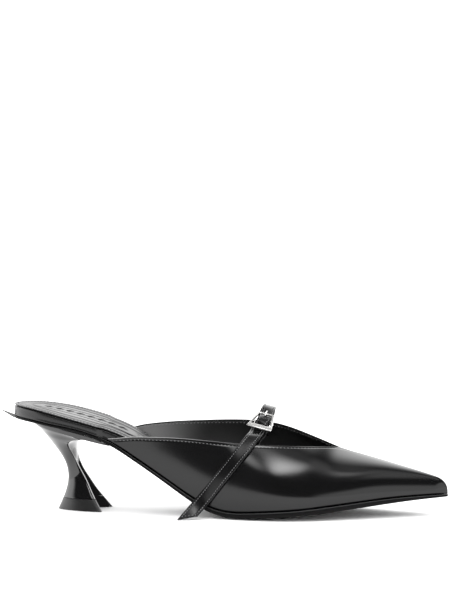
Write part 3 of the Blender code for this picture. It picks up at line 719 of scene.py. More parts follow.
def stitched(name, paths, step, length, width, slant):
    """Rows of stitches along paths of (point, outward direction) pairs, in millimetres."""
    points, edges, outs = [], [], []
    for path in paths:
        edges += [(len(points) + k, len(points) + k + 1) for k in range(len(path) - 1)]
        for point, out in path:
            points.append(Vector(point) * MM)
            outs += list(out)
    mesh = bpy.data.meshes.new(name)
    mesh.from_pydata(points, edges, [])
    mesh.attributes.new("out", "FLOAT_VECTOR", "POINT").data.foreach_set("vector", outs)
    piece = placed(name, mesh)
    change = piece.modifiers.new("stitch row", "NODES")
    change.node_group = STITCHES
    sizes = {"Step": step * MM, "Length": length * MM, "Thread": width * MM}
    values = {**sizes, "Slant": slant, "Finish": thread}
    for socket in STITCHES.interface.items_tree:
        if socket.name in values:
            change[socket.identifier] = values[socket.name]
    applied(piece)
    piece.data.shade_smooth()
    return piece


seam = ring(deeper(SEAM_INSET), lambda x, y: footbed_top(x, y) + SOCK_RISE, 0, SOCK_FRONT)
seam = seam[seam[:, 0] < SEAM_END]
medial = seam[:, 1] > PLAN.middle(seam[:, 0]) + 0.01
rows = [[(point, (0, 0, 1)) for point in seam[half]] for half in (~medial, medial)]
sock_seam = stitched("sock_lining_stitches", rows, step=2.1, length=1.5, width=0.45, slant=0.1)
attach(sock_seam, "root")


# ---------------------------------------------------------------- upper
# The upper is one piece of polished black box calf, pulled tight over a pointed last and cemented
# under it. Its topline is folded over, burnished and stitched, low on both sides, and ends in a
# pointed throat. A lining of thinner leather is glued inside.

FEATHER, TOE_INSET, TOE_NOSE = 1.0, 0.2, 8.4
THROAT = 154.5
LATERAL_TOP = table(
    "x y z",
    (18, -24.7, 44.9),
    (24, -24.4, 45.2),
    (32, -24.4, 46.0),
    (45, -24.4, 46.2),
    (60, -25.1, 46.0),
    (75, -26.7, 45.2),
    (90, -27.9, 44.2),
    (105, -27.3, 43.3),
    (120, -23.6, 42.4),
    (132, -17.9, 41.6),
    (143.5, -10.0, 40.7),
    (154.5, 0.6, 39.4),
)
MEDIAL_TOP = table(
    "x y z",
    (18, 20.6, 45.2),
    (24, 19.4, 46.2),
    (31, 18.4, 48.3),
    (38, 18.6, 49.6),
    (46, 20.2, 50.4),
    (56, 23.0, 51.0),
    (68, 26.4, 51.3),
    (80, 28.7, 51.6),
    (92, 29.8, 51.7),
    (104, 29.3, 51.3),
    (114, 27.3, 50.1),
    (124, 23.5, 47.9),
    (134, 17.6, 45.1),
    (144, 9.8, 42.3),
    (154.5, 0.6, 39.4),
)
RIDGE = table(
    "x y z",
    (154.5, 0.6, 39.4),
    (161, 0.9, 37.4),
    (170, 1.2, 35.0),
    (180, 1.5, 32.2),
    (190, 1.7, 29.3),
    (200, 1.8, 26.4),
    (209, 1.8, 23.6),
    (218, 1.8, 20.6),
)

# How the wall leans: outwards where it leaves the sole, inwards where it ends on top.
LEAN = table(
    "x lateral_foot lateral_top medial_foot medial_top fullness",
    (18, 3, -1, 4, -6, 0.34),
    (30, 8, 0, 10, -8, 0.34),
    (45, 10, 2, 17, -6, 0.34),
    (60, 9, 6, 22, 0, 0.35),
    (75, 7, 12, 22, 10, 0.36),
    (90, 7, 22, 18, 24, 0.37),
    (105, 8, 36, 14, 38, 0.38),
    (120, 8, 50, 11, 52, 0.39),
    (135, 9, 62, 10, 65, 0.40),
    (150, 11, 71, 11, 72, 0.40),
    (160, 12, 77, 12, 77, 0.40),
    (180, 11, 86, 11, 86, 0.40),
    (200, 8, 90, 8, 90, 0.39),
    (218, 3, 90, 3, 90, 0.38),
)


def upper_ends(x, side):
    """The foot and the top of the upper's section at x, each as (y, z)."""
    behind = np.clip((SEAT_MIDDLE - x) / SEAT_ROUND, 0, 1)
    ahead = np.clip((x - TOE_MIDDLE) / (TOE_ROUND - TOE_INSET), 0, 1)
    half = (PLAN.half(x) - FEATHER) * math.sqrt((1 - behind**2) * (1 - ahead**2))
    foot = PLAN.middle(x) + side * half, sole_top(x) + GAP
    if x >= THROAT:
        ahead = np.clip((x - TOE_TIP + TOE_NOSE) / (TOE_NOSE - TOE_INSET), 0, 1)
        rise = (RIDGE.z(x) - foot[1]) * (1 - ahead**3) ** (1 / 3)
        return foot, (RIDGE.y(x), foot[1] + rise)
    edge = LATERAL_TOP if side == LATERAL else MEDIAL_TOP
    return foot, (edge.y(x), edge.z(x))


def bezier(u, ends, low, high):
    """Points and slopes of the curve from foot to top, drawn towards two more points."""
    foot, top = ends
    u = u[:, None]
    v = 1 - u
    points = v**3 * foot + 3 * v**2 * u * low + 3 * v * u**2 * high + u**3 * top
    slopes = v**2 * (low - foot) + 2 * v * u * (high - low) + u**2 * (top - high)
    return points, slopes / np.maximum(np.linalg.norm(slopes, axis=1), 1e-9)[:, None]


BAND_SHARE = 0.4  # the lanes counted from the top take at most this share of the way


def section(x, side, lanes):
    """Points of the outer face and its outward directions at x, and their way from the top.
    Lanes are millimetres from the top, or shares of the way up from the foot if below 0."""
    foot, top = ends = [np.array(end) for end in upper_ends(x, side)]
    name = "lateral" if side == LATERAL else "medial"
    foot_lean, top_lean = (math.radians(getattr(LEAN, name + end)(x)) for end in ("_foot", "_top"))
    reach = LEAN.fullness(x) * np.linalg.norm(top - foot)
    low = foot + reach * np.array([side * math.sin(foot_lean), math.cos(foot_lean)])
    high = top + reach * np.array([side * math.sin(top_lean), -math.cos(top_lean)])
    u = np.linspace(0, 1, 160)
    path, _ = bezier(u, ends, low, high)
    run = np.r_[0, np.cumsum(np.linalg.norm(np.diff(path, axis=0), axis=1))]
    length = max(run[-1], 1e-6)
    deepest = lanes.max()
    band = min(deepest, length * BAND_SHARE)
    wanted = np.where(lanes >= 0, length - lanes * band / deepest, (1 + lanes) * (length - band))
    points, slopes = bezier(np.interp(wanted, run, u), ends, low, high)
    outs = np.stack([side * slopes[:, 1], -side * slopes[:, 0]], axis=-1)
    return points, outs, length - wanted


RIM_LANES = [4.0, 3.4, 2.9, 2.5, 2.2, 2.0, 1.8, 1.6, 1.4, 1.2, 1.0, 0.8, 0.6, 0.4, 0.2, 0.0]
LANES = np.array([*(np.linspace(0, 1, 64)[:-1] - 1), *RIM_LANES])
RIM_TURNS = np.linspace(0, math.pi, 8)[1:-1]
INNER_START = len(LANES) + len(RIM_TURNS)
THROAT_FADE, THROAT_SMOOTH, SMOOTHINGS, SMOOTHING, RIM_KEPT = 6, 9, 60, 0.25, 12
SEAM_DROP, SEAM_DEEP, SEAM_HALF = 1.5, 0.1, 0.4
TUCK_DEEP, TUCK_HIGH = 0.75, 1.6
TOE_FULL, TOE_WALL = 190.0, 3.4
UPPER_THICK, UPPER_RIM = 0.8, 0.35


def opening(x):
    """1 along the open topline, fading to 0 at the throat."""
    return np.clip((THROAT - x) / THROAT_FADE, 0, 1)


def skin(x, side, depth, drop):
    """One face of a layer at x. The outer face dips along the seam and is tucked in at its foot."""
    drop_here, seam_here, closed = drop * opening(x), min(opening(x) * 3, 1), x >= THROAT
    if depth > 0 and x > TOE_FULL:
        x = TOE_FULL + (x - TOE_FULL) * (1 - TOE_WALL / (TOE_TIP - TOE_INSET - TOE_FULL))
    lowered = LANES * (1 - drop_here / RIM_LANES[0]) + drop_here
    points, outs, down = section(x, side, np.where(LANES < 0, LANES, lowered))
    sunk = np.full(len(points), float(depth))
    if depth == 0:
        sunk += SEAM_DEEP * seam_here * np.exp(-(((down - SEAM_DROP) / SEAM_HALF) ** 2))
        sunk += TUCK_DEEP * np.clip(1 - (down.max() - down) / TUCK_HIGH, 0, 1) ** 2
    points = points - outs * sunk[:, None]
    if closed:
        points[-1] = np.array(upper_ends(x, side)[1]) - (0, depth)
    return np.column_stack([np.full(len(points), x), points])


def layer_loop(x, side, depths, drop, rim):
    """A layer's section at x: up its outer face, round its rim and down its inner face."""
    outer, inner = (skin(x, side, depth, drop) for depth in depths)
    middle, half = (outer[-1] + inner[-1]) / 2, (outer[-1] - inner[-1]) / 2
    climb = outer[-1] - outer[-2]
    climb = climb / max(np.linalg.norm(climb), 1e-9) * rim * opening(x)
    turn = [middle + half * math.cos(t) + climb * math.sin(t) for t in RIM_TURNS]
    return [*outer, *turn, *inner[::-1]]


def layer(name, depths, drop, rim, finish):
    """A leather layer of the upper between two depths, closed along its topline, foot and ends."""
    behind = np.linspace(UPPER_BACK, THROAT, 200)
    ahead = THROAT + (TOE_TIP - TOE_INSET - THROAT) * np.sin(np.linspace(0, QUARTER, 90))[1:]
    stations = np.r_[behind, ahead]
    width = INNER_START + len(LANES)
    places = np.arange(width)
    off_rim = np.clip(np.maximum(len(LANES) - 1 - places, places - INNER_START) / RIM_KEPT, 0, 1)
    near_throat = np.exp(-(((stations - THROAT) / THROAT_SMOOTH) ** 2))
    share = SMOOTHING * near_throat[1:-1, None, None] * off_rim[:, None]
    mesh = bmesh.new()
    for side in (LATERAL, MEDIAL):
        rows = np.array([layer_loop(x, side, depths, drop, rim) for x in stations])
        for _ in range(SMOOTHINGS):
            rows[1:-1] += share * (rows[2:] - 2 * rows[1:-1] + rows[:-2])
        tip = rows[-1].copy()
        tip_x, _, tip_z = tip[INNER_START:].mean(axis=0)
        tip[INNER_START:] = tip_x, PLAN.middle(tip_x), tip_z
        rows = [(rows[0] + rows[0][::-1]) / 2, *rows, tip]
        grid = [[mesh.verts.new(Vector(p) * MM) for p in row] for row in rows]
        for i, (row, following) in enumerate(zip(grid, grid[1:])):
            for k in range(width):
                on_rim = len(LANES) - 1 <= k < INNER_START
                at_foot = k == width - 1
                if (on_rim and i >= len(behind)) or (at_foot and following is grid[-1]):
                    continue
                n = (k + 1) % width
                face = mesh.faces.new((row[k], row[n], following[n], following[k]))
                face.material_index = int(depths[0] == 0 and on_rim)
    return finished(name, mesh, finish)


# Painted light: where the rim and the lining are painted paler towards the open back.
PAINTED_LIGHT_BACK, LINING_LIGHT_FRONT, EDGE_HIGHLIGHT_FRONT = 28.0, 73.0, 110.0


def paint_light_from_back(made, grey, front):
    """Paints light onto a leather: a paler grey at the open back, fading to its own black further forward.
    """
    place = add(made.node_tree, "ShaderNodeTexCoord").outputs["Object"]
    apart = add(made.node_tree, "ShaderNodeSeparateXYZ", Vector=place)
    painted_light = add(
        made.node_tree,
        "ShaderNodeMapRange",
        {"interpolation_type": "SMOOTHSTEP"},
        Value=apart.outputs["X"],
        From_Min=PAINTED_LIGHT_BACK * MM,
        From_Max=front * MM,
        To_Min=1.0,
        To_Max=0.0,
    )
    own = made.node_tree.nodes["Principled BSDF"].inputs["Base Color"].links[0].from_socket
    feed(made, Base_Color=blend(made, painted_light.outputs["Result"], own, (grey,) * 3))


box_calf = leather(
    "black polished box calf",
    ((0.0025,) * 3, (0.0035, 0.0035, 0.0038)),
    roughness=(0.1, 0.16),
    grain=2.2,
    pore=0.35,
    depth=0.006,
)
# The folded rim is burnished leather; the paler grey painted along it behind the strap is a painted
# highlight.
edge_with_painted_highlight = leather(
    "burnished leather edge with painted highlight",
    ((0.006,) * 3, (0.01,) * 3),
    roughness=(0.3, 0.4),
    grain=1.0,
    pore=0.3,
    depth=0.01,
    shine=0.14,
)
# Painted highlight: pale grey on the rim from the open back up to the strap.
paint_light_from_back(edge_with_painted_highlight, 0.2, EDGE_HIGHLIGHT_FRONT)
upper = layer("upper_leather", (0.0, UPPER_THICK), 0.0, UPPER_RIM, box_calf)
upper.data.materials.append(edge_with_painted_highlight)
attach(upper, "root")
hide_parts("upper")

# The lining is cut a little below the folded edge. A paler grey is painted on it at the open back, as
# painted light falling in there.
LINING_DEPTHS, LINING_DROP, LINING_RIM = (0.84, 1.3), 0.8, 0.15
soft_lining = leather(
    "black lining leather",
    ((0.009,) * 3, (0.011, 0.011, 0.0113)),
    roughness=(0.4, 0.5),
    grain=1.6,
    pore=0.45,
    depth=0.025,
)
# Painted light: the lining is painted paler towards the open back.
paint_light_from_back(soft_lining, 0.12, LINING_LIGHT_FRONT)
lining = layer("upper_lining", LINING_DEPTHS, LINING_DROP, LINING_RIM, soft_lining)
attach(lining, "root")

# One row of stitches follows the topline on each side, pulled in outside and lying on the lining.
SEAM_BACK, SEAM_FRONT, SEAM_STEP, PULLED_IN = UPPER_BACK + 3, THROAT - 2.2, 0.8, 0.08


def topline_seam(side, depth):
    """The seam's way along a topline, at a depth below the outer face: points and directions."""
    path = []
    for x in np.arange(SEAM_BACK, SEAM_FRONT, SEAM_STEP):
        points, outs = section(x, side, np.array([-1.0, 2 * SEAM_DROP, SEAM_DROP]))[:2]
        inwards = -np.array([0, *outs[-1]])
        path.append((np.array([x, *points[-1]]) + inwards * (depth + PULLED_IN), inwards))
    return path


rows = [topline_seam(side, depth) for depth in (SEAM_DEEP, LINING_DEPTHS[1]) for side in (LATERAL, MEDIAL)]
topline_stitches = stitched("topline_stitches", rows, step=2.15, length=1.15, width=0.42, slant=0.12)
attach(topline_stitches, "root")


# ---------------------------------------------------------------- long strap
# A doubled strap of the same calf comes up from inside the inner side, crosses the instep, passes
# through the buckle and hangs down the outer side to a slanted tail. Both edges are stitched.

STRAP_WIDTH, STRAP_THICK, STAND_OFF = 8.0, 1.6, GAP + 0.2
TAIL_SLANT, SLANT_RUN = 9.0, 20.0
BUCKLE_AT, BUCKLE_UP, BUCKLE_FACE = (110.1, -14.6, 55.7), (0.30, 0.70, 0.64), 46
BAR_RADIUS, BAR_SUNK = 0.6, -3.2
STRAP_NOD = 14.0
STRAP_OVER = [
    # x, y, z, face
    (104.6, 28.2, 42.5, 184),
    (105.2, 27.4, 48.5, 178),
    (106.9, 24.6, 54.2, 158),
    (109.7, 17.4, 59.8, 126),
    (111.7, 8.3, 62.1, 103),
    (112.3, -1.0, 61.9, 82),
]
STRAP_WEAVE = [
    # across, up, out on the buckle
    (0, 5.6, -2.1),
    (0, 0.2, -0.3),
    (-1.0, -4.9, -2.5),
]
STRAP_DOWN = [
    (105.9, -23.4, 47.8, 36),
]
STRAP_ON_WALL = [
    # x, z on the lateral wall of the upper
    (101.2, 40.8),
    (96.8, 35.2),
    (92.4, 29.5),
    (87.6, 23.6),
    (82.0, 16.5),
]
STRAP_TAIL = [
    # x, y, z, face
    (75.9, -33.2, 9.5, 4),
    (72.3, -36.0, 5.3, 18),
    (69.3, -39.2, 1.8, 30),
    (67.1, -42.8, -0.7, 38),
]


def face_direction(degrees, nod=0.0):
    """Outwards across the shoe: 0 lateral, 90 up, 180 medial; what looks up nods to the toe."""
    angle, tilt = math.radians(degrees), math.radians(nod)
    return np.array([math.sin(angle) * math.sin(tilt), -math.cos(angle), math.sin(angle) * math.cos(tilt)])


# The buckle's place and axes: across the strap, up the strap and outwards.
up = Vector(BUCKLE_UP).normalized()
out = Vector(face_direction(BUCKLE_FACE))
out = (out - up * out.dot(up)).normalized()
BUCKLE_AXES = Matrix((up.cross(out), up, out)).transposed()
BUCKLE = Matrix.Translation(Vector(BUCKLE_AT)) @ BUCKLE_AXES.to_4x4()


def on_buckle(across, up, out):
    return np.array(BUCKLE @ Vector((across, up, out)))


def wall_y(x, z):
    """How far out the lateral wall of the upper stands at height z."""
    lanes = np.array([*(np.linspace(0, 1, 60)[:-1] - 1), 0.1, 0.0])
    points = section(x, LATERAL, lanes)[0]
    return np.interp(z, points[:, 1], points[:, 0])


def on_wall(x, z, stand_off):
    """Point at a distance outside the lateral wall, and the wall's own outward direction."""
    step = 0.5
    run = (wall_y(x + step, z) - wall_y(x - step, z)) / (2 * step)
    climb = (wall_y(x, z + step) - wall_y(x, z - step)) / (2 * step)
    out = np.array([run, -1.0, climb])
    out /= np.linalg.norm(out)
    return np.array([x, wall_y(x, z), z]) + stand_off * out, out


def route_table(rows):
    """A route's rows (place, outward direction) as splines over the length run so far."""
    places = np.array([place for place, _ in rows], float)
    runs = np.r_[0.0, np.cumsum(np.linalg.norm(np.diff(places, axis=0), axis=1))]
    columns = np.array([(*place, *out) for place, out in rows], float).T
    return [spline(runs, column) for column in columns], runs[-1]


NEARBY = 0.2


def route_frame(route, run):
    """Middle, outward and across directions of a strap at a run."""

    def place(r):
        return np.array([line(r) for line in route[:3]])

    along = place(run + NEARBY) - place(run - NEARBY)
    along /= np.linalg.norm(along)
    out = np.array([line(run) for line in route[3:]])
    out -= along * (out @ along)
    out /= np.linalg.norm(out)
    return place(run), out, np.cross(along, out)


def tail_pull(run, length, side, slant):
    """A run moved along by the slant of the tail, for a point at side across the strap."""
    pull = np.clip((run - length + SLANT_RUN) / SLANT_RUN, 0, 1)
    return run + slant * pull * (side / STRAP_WIDTH - 0.5)


SEAM_GROOVE, SEAM_GROOVE_HALF, DOME = 0.12, 0.32, 0.1
EASE_SHARE, EASE_MOST = 0.32, 0.45


def strap_profile(thick, seam):
    """Section of a strap of two leathers: domed, grooved under its seams, with eased edges."""
    half, deep = STRAP_WIDTH / 2, thick / 2
    ease = min(thick * EASE_SHARE, EASE_MOST)
    turns = np.linspace(0, QUARTER, 5)
    face = []
    for side in np.linspace(-half + ease, half - ease, 31):
        off_seam = ((abs(side) - half + line) / SEAM_GROOVE_HALF for line in seam)
        sunk = SEAM_GROOVE * sum(math.exp(-(off**2)) for off in off_seam)
        face.append((side, deep - sunk - DOME * (side / half) ** 2 + 0.02))
    edge = [(half - ease + ease * math.sin(t), deep - ease * (1 - math.cos(t)) - 0.08) for t in turns[1:]]
    edge += [(half, 0.09), (half - 0.1, 0.03), (half - 0.1, -0.03), (half, -0.09)]
    edge += [(half - ease * (1 - math.cos(t)), -deep + ease * (1 - math.sin(t))) for t in turns]
    under = [(side, -deep) for side in np.linspace(half - ease, -half + ease, 8)[1:-1]]
    near = [(-side, height) for side, height in edge[::-1]]
    return [*face, *edge, *under, *near]


def strap(name, route, runs, thick, seam, finish, slant=0.0):
    """A strap swept along its route, closed at both ends."""
    profile = strap_profile(thick, seam)

    def loop(run, lift=1):
        points = []
        for side, height in profile:
            pulled = tail_pull(run, runs[-1], side, slant)
            middle, out, across = route_frame(route, pulled)
            points.append(middle + across * side + out * height * lift)
        return points

    return shell(name, [loop(runs[0], 0), *map(loop, runs), loop(runs[-1], 0)], finish)


def cut_away(piece, tool):
    """Takes the shape of a tool's mesh out of a piece."""
    data = bpy.data.meshes.new("tool")
    tool.to_mesh(data)
    tool.free()
    cutter = placed("tool", data)
    cut = piece.modifiers.new("cut", "BOOLEAN")
    cut.operation = "DIFFERENCE"
    cut.object = cutter
    applied(piece)
    bpy.data.objects.remove(cutter)


rows = [((x, y, z), face_direction(face, STRAP_NOD)) for x, y, z, face in STRAP_OVER]
rows += [(on_buckle(*place), face_direction(BUCKLE_FACE)) for place in STRAP_WEAVE]
rows += [((x, y, z), face_direction(face)) for x, y, z, face in STRAP_DOWN]
rows += [on_wall(x, z, STAND_OFF + STRAP_THICK / 2) for x, z in STRAP_ON_WALL]
rows += [((x, y, z), face_direction(face)) for x, y, z, face in STRAP_TAIL]
strap_route, strap_length = route_table(rows)
STRAP_SEAM = 1.3
strap_calf = leather(
    "black strap calf",
    ((0.002,) * 3, (0.0035, 0.0035, 0.0038)),
    roughness=(0.18, 0.26),
    grain=1.8,
    pore=0.35,
    depth=0.01,
    shine=0.26,
)
runs = np.linspace(0, strap_length, 260)
long_strap = strap(
    "long_strap_leather", strap_route, runs, STRAP_THICK, (STRAP_SEAM,), strap_calf, TAIL_SLANT
)

# The prong's hole is punched through it.
HOLE_RADIUS, HOLE_UP, PUNCH_LONG = 0.9, 4.3, 8
TO_BUCKLE = Matrix.Scale(MM, 4) @ BUCKLE
punch = bmesh.new()
bmesh.ops.create_cone(
    punch,
    cap_ends=True,
    segments=24,
    radius1=HOLE_RADIUS,
    radius2=HOLE_RADIUS,
    depth=PUNCH_LONG,
    matrix=TO_BUCKLE @ Matrix.Translation((0, HOLE_UP, 0)),
)
cut_away(long_strap, punch)
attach(long_strap, "root")
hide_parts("long_strap")

SEAM_SIDE, SEAM_UP = STRAP_WIDTH / 2 - STRAP_SEAM, STRAP_THICK / 2 - 0.09
SEAM_START, SEAM_STOP = 2, strap_length - 1.6


def on_seam(run, side):
    """A point on the strap's face at side across it, and its outward direction."""
    pulled = tail_pull(run, strap_length, side, TAIL_SLANT)
    middle, out, across = route_frame(strap_route, pulled)
    return middle + across * side + out * SEAM_UP, out


runs = np.linspace(SEAM_START, SEAM_STOP, 200)
rows = [[on_seam(run, side) for run in runs] for side in (-SEAM_SIDE, SEAM_SIDE)]
rows.append([on_seam(SEAM_STOP, side) for side in np.linspace(-SEAM_SIDE, SEAM_SIDE, 9)])
strap_stitches = stitched("long_strap_stitches", rows, step=1.6, length=0.95, width=0.46, slant=0.1)
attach(strap_stitches, "root")


# ---------------------------------------------------------------- short strap
# A single thin strap is folded round the buckle's sunken bar, slotted for the prong, and sewn
# inside the outer side of the upper.

CHAPE_THICK = 0.8
CHAPE_DOWN = [
    # x, y, z, face
    (107.0, -19.3, 46.9, 40),
    (105.3, -22.5, 43.4, 28),
    (104.6, -24.4, 40.0, 14),
    (104.2, -25.6, 36.5, 10),
]
SLOT_LOW, SLOT_HIGH = (-1.1, -2.5, BAR_SUNK - 2.6), (1.1, 3.0, BAR_SUNK + 2.2)

fold = BAR_RADIUS + GAP + CHAPE_THICK / 2
rows = []
for angle in np.linspace(math.radians(115), math.radians(-90), 10):
    up, out = math.cos(angle), math.sin(angle)
    rows.append((on_buckle(0, fold * up, BAR_SUNK + fold * out), BUCKLE_AXES @ Vector((0, up, out))))
for up, out in ((-3.0, -fold), (-6.5, -fold - 0.3)):
    rows.append((on_buckle(0, up, BAR_SUNK + out), BUCKLE_AXES @ Vector((0, 0, -1))))
rows += [((x, y, z), -face_direction(face)) for x, y, z, face in CHAPE_DOWN]
chape_route, chape_length = route_table(rows)
runs = np.linspace(0, chape_length, 90)
short_strap = strap("short_strap_leather", chape_route, runs, CHAPE_THICK, (), strap_calf)


def buckle_box(mesh, low, high):
    """Adds a box between two corners on the buckle to a mesh."""
    low, high = Vector(low), Vector(high)
    place = TO_BUCKLE @ Matrix.Translation((low + high) / 2) @ Matrix.Diagonal((*(high - low), 1))
    bmesh.ops.create_cube(mesh, size=1.0, matrix=place)


slot_tool = bmesh.new()
buckle_box(slot_tool, SLOT_LOW, SLOT_HIGH)
cut_away(short_strap, slot_tool)
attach(short_strap, "root")
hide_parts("short_strap")


# ---------------------------------------------------------------- buckle
# The frame is cast in zinc alloy, polished and silver plated: wider and broader at its low bar,
# with a sunken bar that carries the short strap and the wire prong.

BUCKLE_LOW_HALF, BUCKLE_HIGH_HALF, BUCKLE_LONG = 7.8, 5.1, 12.0
LOW_BAR, SIDE_BAR, HIGH_BAR, BUCKLE_DEEP, BUCKLE_BEVEL = 2.6, 1.2, 0.8, 1.4, 0.3

silver = principled("polished silver plate", {"Base Color": (0.86, 0.855, 0.84, 1), "Metallic": 1.0})
brushing = clouds(silver, scale=6000.0, detail=1.0, squeeze=(1, 0.15, 1))
wear = clouds(silver, scale=900.0, detail=4.0)
relief = raised(silver, brushing, depth=0.004, strength=0.3)
feed(silver, Roughness=spread(silver, wear, 0.06, 0.22), Normal=relief)


def buckle_shell(name, rings):
    """A shell whose rings are given on the buckle."""
    return shell(name, [[on_buckle(*point) for point in loop] for loop in rings], silver)


def buckle_outline(low, high, trim):
    """The frame's corners between two heights on it, trimmed at the sides."""
    corners = []
    for up, hand in ((low, -1), (low, 1), (high, 1), (high, -1)):
        share = (up + half_long) / BUCKLE_LONG
        half = BUCKLE_LOW_HALF + (BUCKLE_HIGH_HALF - BUCKLE_LOW_HALF) * share
        corners.append((hand * (half - trim), up))
    return corners


half_long, deep = BUCKLE_LONG / 2, BUCKLE_DEEP / 2
outer = buckle_outline(-half_long, half_long, 0)
inner = buckle_outline(-half_long + LOW_BAR, half_long - HIGH_BAR, SIDE_BAR)
levels = ((inner, -deep), (outer, -deep), (outer, deep), (inner, deep), (inner, -deep))
rings = [[(across, up, level) for across, up in loop] for loop, level in levels]
buckle = eased(buckle_shell("buckle_cast_frame", rings), width=BUCKLE_BEVEL, segments=4)
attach(buckle, "root")
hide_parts("buckle_frame")

# The sunken bar runs between two lugs under the frame's sides.
BAR_REACH = (BUCKLE_LOW_HALF + BUCKLE_HIGH_HALF) / 2 - 0.4
LUG_HALF, LUG_BELOW, LUG_TOP, LUG_IN, LUG_OUT = 0.95, 0.8, -0.3, 0.9, 0.15

rings = []
for along, scale in ((0, 0), (0, 0.85), (0.01, 1), (0.99, 1), (1, 0.85), (1, 0)):
    spokes = [(math.cos(t), math.sin(t)) for t in 2 * math.pi * np.arange(24) / 24]
    thick = BAR_RADIUS * scale
    rings.append([(BAR_REACH * (2 * along - 1), thick * c, BAR_SUNK + thick * s) for c, s in spokes])
sunken_bar = buckle_shell("buckle_sunken_bar", rings)
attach(sunken_bar, "root")

lug_mesh = bmesh.new()
for hand in (-1, 1):
    near, far = sorted((hand * (BAR_REACH - LUG_IN), hand * (BAR_REACH + LUG_OUT)))
    buckle_box(lug_mesh, (near, -LUG_HALF, BAR_SUNK - LUG_BELOW), (far, LUG_HALF, LUG_TOP))
lugs = eased(finished("buckle_lugs", lug_mesh, silver), width=0.2, segments=3)
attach(lugs, "root")

# The prong is bent from wire: an eye round the sunken bar, then up through the strap's hole to
# rest on the high bar, with its tip filed flat.
PRONG_RADIUS, PRONG_TAPER, TAPER_RUN = 0.5, 0.35, 3
PRONG_UP = [(1.4, -2.6), (2.7, -2.9), (3.7, -2.5), (4.2, -1.4), (4.4, 0.0), (4.55, 0.8), (4.95, 1.25)]

eye = BAR_RADIUS + GAP + PRONG_RADIUS
rest = deep + GAP + PRONG_RADIUS
turns = np.linspace(math.radians(290), math.radians(90), 11)
route = [(eye * math.cos(turn), BAR_SUNK + eye * math.sin(turn)) for turn in turns]
route += [*PRONG_UP, (5.6, rest + 0.05), (6.4, rest), (7.1, rest - 0.1)]
prong_route, prong_length = route_table([((0, up, out), (1, 0, 0)) for up, out in route])
runs = np.linspace(0, prong_length, 90)
rings = []
for run in runs:
    middle, out, across = route_frame(prong_route, run)
    filed = PRONG_TAPER * np.clip((run - prong_length + TAPER_RUN) / TAPER_RUN, 0, 1) ** 2
    thick = PRONG_RADIUS * (1 - filed)
    spokes = [(math.cos(t), math.sin(t)) for t in np.linspace(0, 2 * math.pi, 17)[:-1]]
    rings.append([middle + (out * c + across * s) * thick for c, s in spokes])
first, last = (np.tile(route_frame(prong_route, run)[0], (len(spokes), 1)) for run in (0, prong_length))
prong = buckle_shell("buckle_prong_wire", [first, *rings, last])
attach(prong, "root")
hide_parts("prong")


# ---------------------------------------------------------------- floor and lights
# The shoe stands on a plain white floor in a white studio: a long softbox and a fainter side light
# hang overhead, a backdrop behind gets brighter upwards, and low white boards stand beyond the toe
# and the heel. The side towards the camera stays dark, so that the black leather shows its shape.

FLOOR_HALF, FLOOR_WHITE = 20.0, 0.8

paper = principled("white paper floor", {"Roughness": 0.9, "Specular IOR Level": 0.0})
pulp = clouds(paper, scale=40.0, detail=2.0)
feed(paper, Base_Color=blend(paper, pulp, (FLOOR_WHITE,) * 3, (FLOOR_WHITE + 0.01,) * 3))
floor_mesh = bpy.data.meshes.new("floor")
corners = [(x * FLOOR_HALF, y * FLOOR_HALF, 0) for x, y in ((-1, -1), (1, -1), (1, 1), (-1, 1))]
floor_mesh.from_pydata(corners, [], [(0, 1, 2, 3)])
floor_mesh.materials.append(paper)
floor = placed("floor", floor_mesh)

# What the gloss sees is drawn on the sky: directions over the height, so that overhead lights keep
# straight sides. What lights the leather and the floor is one even white.
EXPOSURE, EVEN_LIGHT, BEHIND, DIMMEST = 1.5, 2.5, 1.1, 0.02
LOWEST = 0.08

world = bpy.data.worlds.new("studio")
bpy.context.scene.world = world
world.use_nodes = True
studio = world.node_tree


def gate(value, shut, full, bright=1.0):
    """Brightness that rises softly from nothing at one value to its full at another."""
    soft = {"interpolation_type": "SMOOTHSTEP"}
    node = add(studio, "ShaderNodeMapRange", soft, Value=value, From_Min=shut, From_Max=full, To_Max=bright)
    return node.outputs["Result"]


def combined(kind, *values):
    """Values put together one after another by the same arithmetic."""
    return reduce(partial(sum_of, studio, kind), values)


plus, minus, times = (partial(combined, kind) for kind in ("ADD", "SUBTRACT", "MULTIPLY"))
over, power, most = (partial(combined, kind) for kind in ("DIVIDE", "POWER", "MAXIMUM"))


look = add(studio, "ShaderNodeTexCoord").outputs["Generated"]
apart = add(studio, "ShaderNodeSeparateXYZ", Vector=look)
toward_toe, away, up = apart.outputs["X"], apart.outputs["Y"], apart.outputs["Z"]
height = most(up, LOWEST)
along, across = over(toward_toe, height), over(away, height)
above = gate(up, 0.0, 0.1)


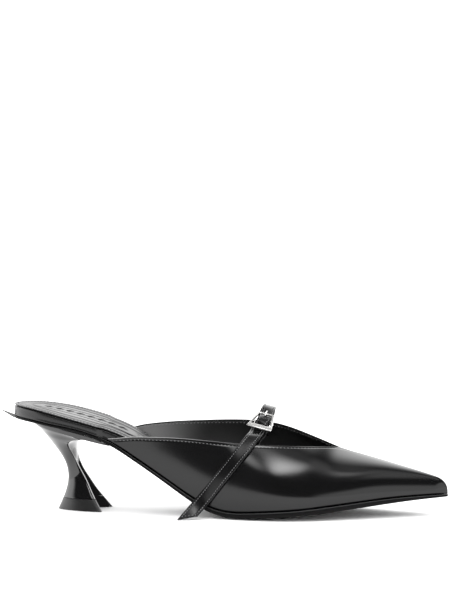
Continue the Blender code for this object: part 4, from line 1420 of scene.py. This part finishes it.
def soft_light(middle, slant, half_width, half_length, bright):
    """A rounded, slanted light overhead, brightest in its middle."""
    behind = minus(across, middle[1])
    aside = minus(along, middle[0], times(behind, slant))
    wide = power(over(aside, half_width), 2.0)
    long = power(over(behind, half_length), 2.0)
    from_middle = power(plus(wide, long), 0.5)
    return times(gate(from_middle, 1.0, 0.12, bright), above)


softbox = soft_light((0.22, -0.66), slant=0.26, half_width=0.19, half_length=0.8, bright=9.2)
side_light = soft_light((-0.27, -0.8), slant=0.0, half_width=0.31, half_length=0.68, bright=4.0)
fill_light = soft_light((0.47, 0.0), slant=0.0, half_width=0.13, half_length=0.5, bright=0.75)
backdrop = times(plus(gate(up, 0.05, 0.45, 1.3), 1.0), gate(across, 0.18, 0.95))
backdrop = times(backdrop, most(gate(along, 0.48, 0.26), gate(up, 0.65, 0.4)))
board_top = times(minus(toward_toe, 0.465), 1.44)
toe_board = gate(minus(board_top, up), -0.1, 0.1, 1.1)
toe_board = times(toe_board, gate(away, -0.1, -0.35))
lean = plus(along, times(across, 0.3))
strip_wide = times(gate(lean, 0.46, 0.58, 0.82), gate(lean, 0.82, 0.64))
strip_long = times(gate(across, 0.3, 0.0), gate(across, -0.55, -0.12))
strip = times(strip_wide, strip_long)
heel_board = times(gate(toward_toe, -0.78, -0.92), gate(up, 0.7, 0.3, 1.7))
ceiling = plus(gate(up, 0.85, 0.97, 0.4), gate(toward_toe, 0.1, -0.4, 0.03))
lamps = (ceiling, softbox, side_light, fill_light, backdrop, toe_board, strip, heel_board)
lit = times(plus(most(*lamps), DIMMEST), EXPOSURE)
path = add(studio, "ShaderNodeLightPath").outputs
for kind, level in (("Is Diffuse Ray", EVEN_LIGHT), ("Is Camera Ray", BEHIND)):
    choice = add(studio, "ShaderNodeMix", {"data_type": "FLOAT"})
    for value, socket in zip((path[kind], lit, level), (choice.inputs[0], *choice.inputs[2:4])):
        plug(studio, value, socket)
    lit = choice.outputs[0]
room = studio.nodes["Background"]
room.inputs["Color"].default_value = (1, 1, 1, 1)
plug(studio, lit, room.inputs["Strength"])
world.cycles.sampling_method = "NONE"
bpy.context.scene.view_settings.view_transform = "Standard"
